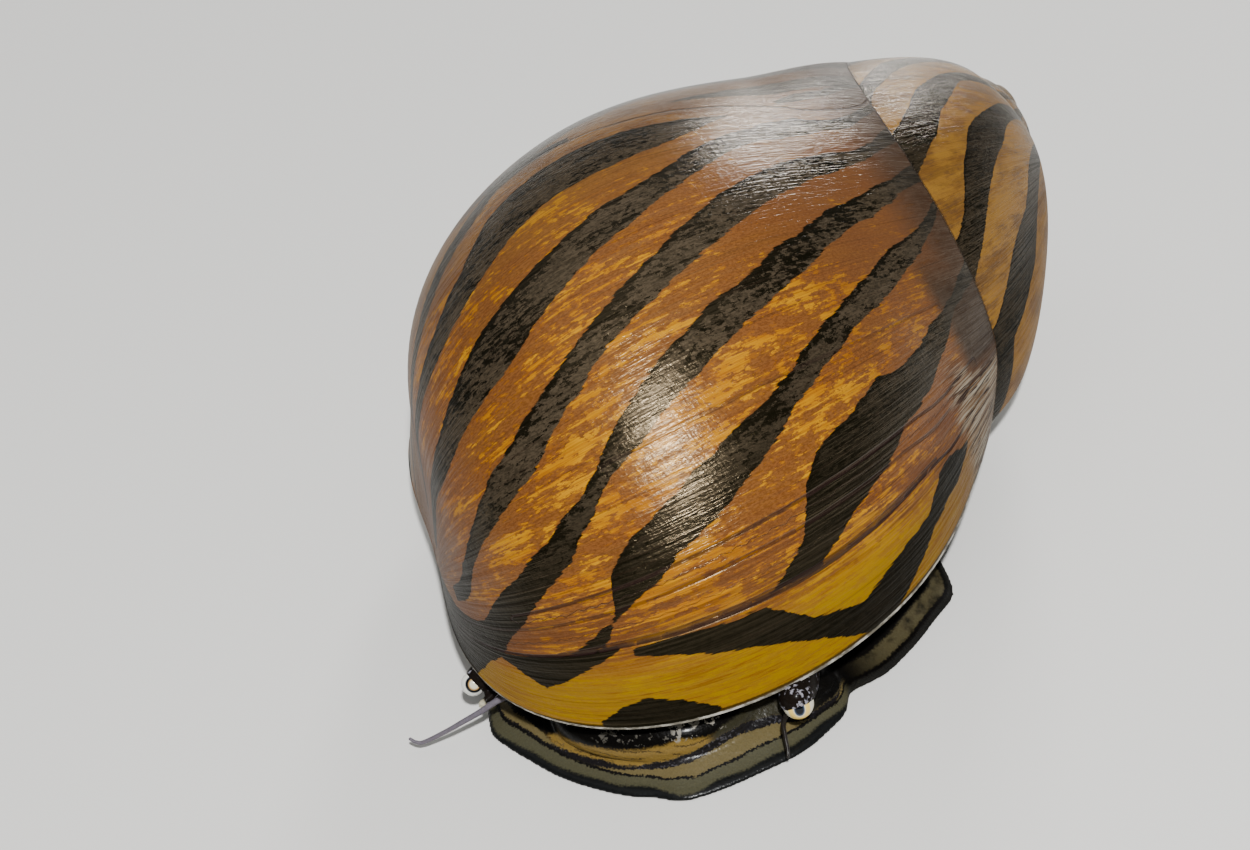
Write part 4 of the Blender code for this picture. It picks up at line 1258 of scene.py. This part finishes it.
def skin_material(skin):
    """Wet living skin of a nerite: slime-coated muscle, olive cream with slate and black bands, sooty mantle.

    The slime gives it sharp small highlights, and light sinks a little way into the cream parts.
    """
    made, node, shader = new_material("nerite_skin")
    paint = paints(skin, SKIN_MARKS)
    place = node("TexCoord", output="Object")
    noise = {}
    for name, (size, detail) in SKIN_PATTERNS.items():
        noise[name] = node("TexNoise", {"Vector": place, "Scale": 1 / (size * MM), "Detail": detail})
    point = {name: node("Attribute", output="Fac", attribute_name=name) for name in SKIN_NUMBERS}
    wander = stack(node, SUM, -0.14, (noise["sway"], 0.10), (noise["fray"], 0.18))
    past = {}
    for name in SKIN_DISTANCES:
        even = node("Attribute", output="Fac", attribute_name=name)
        past[name] = node("Math", {0: even, 1: wander}, operation="ADD")
    row = node("CombineXYZ", {0: point["along"]})
    comb = node("TexWave", {"Vector": row, "Scale": 1 / COMB_PITCH, "Distortion": 0.6}, output="Fac")

    coats, creases = foot_coats(node, noise, point, past, paint)
    flank = shaded_flank_colour(node, noise, point, past, comb, paint)
    colour = stack(
        node, COATS, paint["slate"], *coats, (point["flank"], flank),
        *upper_coats(node, noise, point, paint),
    )
    grain = stack(node, SUM, 0.75, (noise["grain"], 0.5))
    colour = node("Mix", {0: 1.0, 6: colour, 7: grain}, blend_type="MULTIPLY", **COLOURS)
    ridges = node("Math", {0: comb, 1: point["flank"]}, operation="MULTIPLY")
    relief = stack(node, SUM, noise["bumps"], (ridges, 1.5), (creases, -0.8))
    high = node("MapRange", {0: point["height"], 1: 0.95, 2: 1.15}, **SMOOTH)
    dull = node("Math", {0: point["flank"], 1: high}, operation="MAXIMUM")
    fill(shader, {
        "Base Color": colour,
        "Normal": node("Bump", {"Height": relief, "Strength": 0.5, "Distance": 0.04 * MM}),
        "Specular IOR Level": stack(node, SUM, 0.5, (dull, -0.44)),
        "Roughness": 0.30,
        "IOR": 1.22,
        "Coat Weight": 0.04,
        "Coat Roughness": 0.12,
        "Subsurface Weight": 0.10,
        "Subsurface Radius": (0.25 * MM, 0.18 * MM, 0.10 * MM),
    })
    return made


def near_route(points, route):
    """Distance in mm from each point to a route."""
    best = np.full(len(points), 9.0)
    for start, end in zip(route, route[1:]):
        run = end - start
        share = np.clip((points - start) @ run / (run @ run), 0, 1)
        best = np.minimum(best, np.linalg.norm(points - start - share[:, None] * run, axis=1))
    return best * 1000


def mark_foot(made, skin, turn, margin):
    """Stores the foot's distances, its flanks, which carry the shell's painted shadow, and the snout's turns.
    """
    degrees = np.degrees(turn)
    bands = np.array(FOOT_BANDS)
    store(made, "margin", margin)
    for column, name in enumerate(("past_rim", "past_line", "past_strip", "past_band", "past_fold"), start=1):
        store(made, name, margin - np.interp(degrees, bands[:, 0], bands[:, column]))
    widths = np.array(BAND_WIDTH)
    wide = np.interp(degrees, widths[:, 0], widths[:, 1])
    store(made, "past_band_far", margin - np.interp(degrees, bands[:, 0], bands[:, 4]) + wide)
    store(made, "along", turn * 500 * (skin.foot_half_width + skin.foot_half_length))
    # The shell's shadow is painted on the near flank, and the far flank gets a copy of it.
    right_flank = smooth_step(-33, -30, degrees) * smooth_step(22, 14, degrees)
    left_flank = np.maximum(smooth_step(-146, -152, degrees), smooth_step(158, 166, degrees))
    store(made, "flank", np.maximum(right_flank, left_flank))
    right_tan = smooth_step(-30, -16, degrees) * smooth_step(14, 8, degrees)
    store(made, "shaded_flank_band", np.maximum(right_tan, left_flank))
    store(made, "snout", smooth_step(-114, -110, degrees) * smooth_step(-64, -68, degrees))
    store(made, "khaki", smooth_step(-68, -64, degrees) * smooth_step(-38, -44, degrees))


def mark_skin(made, whorls, skin, stalks, tentacles):
    """Stores what the skin's colours follow: its margins, heights and parts."""
    place = points_of(made)
    centre = whorls.centre
    turn, margin = foot_turn_and_margin(whorls, skin, place)
    rise = np.maximum(place[:, 2] - foot_height(margin * MM), 0) * 1000
    mark_foot(made, skin, turn, margin + RISE_SHARE * rise)
    store(made, "height", place[:, 2] * 1000)
    low = smooth_step(0.95 * MM, 1.15 * MM, place[:, 2])
    near = [near_route(place, route) for route in stalks]
    bare = [radii[0] * 1.25 for radii in STALK_RADII]
    stalk = np.maximum(*[smooth_step(edge, edge - 0.12, away) for edge, away in zip(bare, near)]) * low
    flesh = 1 - stalk
    store(made, "stalk", stalk)
    store(made, "flesh", flesh)
    across = place[:, 0] * 1000
    few = 0.30 * smooth_step(-2.9, -2.3, across) * smooth_step(0.2, -0.2, across)
    many = smooth_step(-0.15, 0.15, across) * smooth_step(1.7, 1.3, across)
    store(made, "blotches", few + many)
    store(made, "blotch_share", (few + many) * flesh)
    for name, route in zip(("tentacle_left", "tentacle_right"), tentacles):
        store(made, name, smooth_step(0.20, 0.16, near_route(place, route)))
    # The knob by the right eye is painted pale as a highlight.
    highlight_knob = near_route(place, np.array(HIGHLIGHT_KNOB[1:] * 2) * MM + centre + [[0, 0, 0], [0, 0, 1e-6]])
    store(made, "highlight_knob", smooth_step(0.17, 0.13, highlight_knob))


class NERITE_OT_skin(bpy.types.Operator):
    """Build foot, snout, stalks, tentacles and mantle, and join them into one skin"""

    bl_idname = "nerite.skin"
    bl_label = "Skin"

    def execute(self, context):
        scene = context.scene
        skin = scene.nerite_skin
        whorls = Whorls(scene.nerite_shell)
        centre = whorls.centre
        parts = [foot_piece(whorls, skin), column_piece(whorls)]
        parts.append(snout_piece(centre + np.array(SNOUT_CENTRE) * MM, np.array(SNOUT_HALF) * MM))
        stalks = [curve_through(np.array(route) * MM + centre, 12) for route in STALK_ROUTES]
        tentacles = [curve_through(np.array(route) * MM + centre, 60) for route in TENTACLE_ROUTES]
        for k, route in enumerate(stalks):
            radii = np.linspace(*STALK_RADII[k], len(route)) * MM
            parts.append(tube_piece(f"skin_stalk_{k}", route, radii))
        highlight_knob = curve_through(np.array(HIGHLIGHT_KNOB) * MM + centre, 6)
        parts.append(tube_piece("skin_papilla", highlight_knob, np.full(6, 0.13 * MM)))
        made = join(parts)
        made.name = made.data.name = "nerite_skin"
        apply_modifier(made, "REMESH", mode="VOXEL", voxel_size=skin.voxel, adaptivity=0.0)
        apply_modifier(made, "SMOOTH", factor=0.5, iterations=3)
        apply_modifier(made, "DECIMATE", ratio=skin.kept_share)
        feelers = []
        for k, route in enumerate(tentacles):
            radii = np.linspace(*TENTACLE_RADII[k], len(route)) * MM
            feelers.append(tube_piece(f"skin_tentacle_{k}", route, radii))
        made = join([made, *feelers])
        mark_skin(made, whorls, skin, stalks, tentacles)
        deselect()
        made.select_set(True)
        bpy.ops.object.shade_smooth()
        made.data.materials.append(skin_material(skin))
        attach(made, "root")
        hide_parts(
            "foot", "head", "mantle", "eye_stalk_left", "eye_stalk_right",
            "tentacle_left", "tentacle_right",
        )
        return {"FINISHED"}


# Eyes and operculum.


def eye_material(name, stops):
    """A snail's eye under its clear wet cornea, from the side of the ball to the middle of the pupil."""
    made, node, shader = new_material(name)
    facing = node("Attribute", output="Fac", attribute_name="facing")
    colour = node("ValToRGB", {0: facing})
    ramp = colour.node.color_ramp
    while len(ramp.elements) < len(stops):
        ramp.elements.new(0.5)
    for element, (place, shade) in zip(ramp.elements, stops):
        element.position = place
        element.color = linear(shade)
    fill(shader, {"Base Color": colour, "Roughness": 0.08, "IOR": 1.30})
    fill(shader, {"Coat Weight": 0.1, "Coat Roughness": 0.03})
    return made


# Where each eye's ramp points: the left eye's pupil, and the middle of what shows of the right eye.
EYE_LOOKS = {"eye_left": (0.25, -0.93, 0.34), "eye_right": (0.33, -0.72, 0.61)}
PUPIL_NARROW = {"eye_left": 1.2, "eye_right": 1.0}  # how much taller than a circle, and narrower


def eye_stops(eye, name):
    """The eye's colours from its side to its middle. The left shows its pupil and the right its side."""
    if name == "eye_left":
        return (
            (0.0, eye.white), (0.50, eye.white), (0.62, eye.ball), (0.86, eye.ball), (0.90, eye.white),
            (0.925, eye.ring), (0.945, eye.ring), (0.960, eye.pupil),
        )
    # The right eye: a painted reflection on the cornea round its rim, and a white middle that is its cream
    # with a painted highlight.
    return (
        (0.0, eye.rim_reflection), (0.66, eye.rim_reflection), (0.74, eye.pupil), (0.85, eye.pupil), (0.90, eye.brown),
        (0.95, eye.white),
    )


def facing_share(place, look, radius, narrow):
    """How squarely each point faces where the eye looks: 1 in the pupil's middle and 0 at the side."""
    look = np.array(look) / np.linalg.norm(look)
    across = np.cross(look, (0, 0, 1))
    across /= np.linalg.norm(across)
    spread = np.hypot(place @ across * narrow, place @ np.cross(across, look) / narrow) / radius
    spread = np.where(place @ look > 0, spread, 1)
    return np.sqrt(np.clip(1 - spread * spread, 0, 1))


class NERITE_OT_eyes(bpy.types.Operator):
    """Build the two eyes under the stalks' ends"""

    bl_idname = "nerite.eyes"
    bl_label = "Eyes"

    def execute(self, context):
        eye = context.scene.nerite_eye
        whorls = Whorls(context.scene.nerite_shell)
        for name, look in EYE_LOOKS.items():
            centre = whorls.centre + np.array(EYE_PLACES[name]) * MM
            radius = eye.radius if name == "eye_left" else eye.radius_right
            deselect()
            bpy.ops.mesh.primitive_uv_sphere_add(segments=96, ring_count=48, radius=radius, location=centre)
            made = context.object
            made.name = made.data.name = f"nerite_{name}"
            bpy.ops.object.transform_apply(location=True, rotation=True, scale=True)
            store(made, "facing", facing_share(points_of(made) - centre, look, radius, PUPIL_NARROW[name]))
            bpy.ops.object.shade_smooth()
            made.data.materials.append(eye_material(f"nerite_{name}", eye_stops(eye, name)))
            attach(made, "root")
            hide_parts(name)
        return {"FINISHED"}


# sRGB hex of the operculum: its dark and pale arcs, its stains and the grain over them.
OPERCULUM_COLOURS = {"dark": "6B4A3A", "pale": "A58672", "stain": "4A2E26", "grain": "8C7262"}


def operculum_material():
    """Operculum: a chalky plate under a thin horny skin, with growth arcs and a darker rim.

    It gives the eye fine arcs, rosy brown to cream, with a dull satin sheen.
    """
    made, node, shader = new_material("nerite_operculum")
    shades = {name: linear(value) for name, value in OPERCULUM_COLOURS.items()}
    place = node("TexCoord", output="Object")
    rings = {"Vector": place, "Scale": 1 / (1.5 * MM), "Distortion": 1.5, "Detail": 3.0}
    arcs = node("TexWave", rings, output="Fac", wave_type="RINGS")
    grain = node("TexNoise", {"Vector": place, "Scale": 1 / (0.15 * MM), "Detail": 4.0})
    stains = node("TexNoise", {"Vector": place, "Scale": 1 / (1.1 * MM), "Detail": 3.0})
    stains = node("MapRange", {0: stains, 1: 0.45, 2: 0.62, 4: 0.6})
    relief = node("Math", {0: arcs, 1: grain}, operation="ADD")
    fill(shader, {
        "Base Color": stack(
            node, COATS, shades["dark"],
            (arcs, shades["pale"]), (stains, shades["stain"]), (grain, shades["grain"]),
        ),
        "Normal": node("Bump", {"Height": relief, "Strength": 0.4, "Distance": 0.03 * MM}),
        "Roughness": 0.4,
    })
    return made


class NERITE_OT_operculum(bpy.types.Operator):
    """Finish the operculum, the D-shaped plate on the tail"""

    bl_idname = "nerite.operculum"
    bl_label = "Operculum"

    def execute(self, context):
        made = operculum_material()
        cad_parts["operculum"].material_slots[0].material = made
        return {"FINISHED"}


# The studio.

SKY = "F2F4F6"  # sRGB hex
SKY_STRENGTH = 0.15
AIM = (0, 0, 6 * MM)  # the lamps turn to the middle of the snail
# Each lamp: its place and size in metres, and its power in watts.
LAMPS = {
    "key": ((0.052, -0.134, 0.176), 0.010, 0.86),
    "top": ((-0.02, 0.03, 0.24), 0.30, 0.20),
    "back": ((0.015, 0.25, 0.085), 0.05, 0.40),
}
SENSOR_WIDTH = 36.0  # mm
PICTURE = (1250, 850)  # width and height in pixels
MOUTH_IN_PICTURE = (694.6, 477.6)  # where the mouth's centre shows in it, from its top left corner


def studio_floor(studio, scene):
    """Pale paper under the snail and an even pale sky."""
    deselect()
    bpy.ops.mesh.primitive_plane_add(size=3.0, location=(0, 0, 0))
    floor = bpy.context.object
    floor.name = "studio_floor"
    paper, _, shader = new_material("studio_paper")
    fill(shader, {"Base Color": linear(studio.floor), "Roughness": 0.9})
    floor.data.materials.append(paper)
    world = bpy.data.worlds.new("studio_world")
    scene.world = world
    world.use_nodes = True
    fill(world.node_tree.nodes["Background"], {0: linear(SKY), 1: SKY_STRENGTH})


def studio_lamps():
    """Square soft lamps, each turned to the snail."""
    for name, (place, size, power) in LAMPS.items():
        deselect()
        bpy.ops.object.light_add(type="AREA", location=place)
        lamp = bpy.context.object
        lamp.name = f"studio_{name}"
        lamp.data.size = size
        lamp.data.energy = power
        aim = Vector(AIM) - Vector(place)
        lamp.rotation_euler = aim.to_track_quat("-Z", "Y").to_euler()


def studio_camera(studio, shell, scene):
    """A camera that looks down at the mouth's centre, rolled about its own view."""
    az, el = studio.azimuth, studio.elevation
    back = Vector((math.sin(az) * math.cos(el), -math.cos(az) * math.cos(el), math.sin(el)))
    level = Vector((math.cos(az), math.sin(az), 0))
    upright = back.cross(level)
    right = level * math.cos(studio.roll) + upright * math.sin(studio.roll)
    up = back.cross(right)
    data = bpy.data.cameras.new("camera")
    camera = bpy.data.objects.new("camera", data)
    scene.collection.objects.link(camera)
    turn = Matrix((right, up, back)).transposed().to_4x4()
    place = Vector((shell.mouth_x, shell.mouth_y, shell.lip_height)) + back * studio.distance
    camera.matrix_world = Matrix.Translation(place) @ turn
    data.sensor_width = SENSOR_WIDTH
    data.lens = studio.lens
    data.clip_start = 0.01
    data.shift_x = (PICTURE[0] / 2 - MOUTH_IN_PICTURE[0]) / PICTURE[0]
    data.shift_y = (MOUTH_IN_PICTURE[1] - PICTURE[1] / 2) / PICTURE[0]
    scene.camera = camera


class NERITE_OT_studio(bpy.types.Operator):
    """Set the floor, the soft lights and the camera"""

    bl_idname = "nerite.studio"
    bl_label = "Studio"

    def execute(self, context):
        scene = context.scene
        studio_floor(scene.nerite_studio, scene)
        studio_lamps()
        studio_camera(scene.nerite_studio, scene.nerite_shell, scene)
        return {"FINISHED"}


class NERITE_PT_panel(bpy.types.Panel):
    """The steps of the build, in order"""

    bl_label = "Nerite"
    bl_idname = "NERITE_PT_panel"
    bl_space_type = "VIEW_3D"
    bl_region_type = "UI"
    bl_category = "Nerite"

    def draw(self, context):
        for operator in OPERATORS:
            self.layout.operator(operator.bl_idname)


GROUPS = {
    "nerite_shell": ShellSettings,
    "nerite_skin": SkinSettings,
    "nerite_eye": EyeSettings,
    "nerite_studio": StudioSettings,
}
OPERATORS = (NERITE_OT_shell, NERITE_OT_skin, NERITE_OT_eyes, NERITE_OT_operculum, NERITE_OT_studio)


def register():
    """Adds the settings, the operators and the panel to Blender."""
    for name, group in GROUPS.items():
        bpy.utils.register_class(group)
        setattr(bpy.types.Scene, name, bpy.props.PointerProperty(type=group))
    for item in (*OPERATORS, NERITE_PT_panel):
        bpy.utils.register_class(item)


def unregister():
    """Takes them away again."""
    for item in (NERITE_PT_panel, *reversed(OPERATORS)):
        bpy.utils.unregister_class(item)
    for name, group in GROUPS.items():
        delattr(bpy.types.Scene, name)
        bpy.utils.unregister_class(group)


def main():
    """Builds the snail in its studio."""
    register()
    bpy.ops.nerite.shell()
    bpy.ops.nerite.skin()
    bpy.ops.nerite.eyes()
    bpy.ops.nerite.operculum()
    bpy.ops.nerite.studio()


if __name__ == "__main__":
    main()
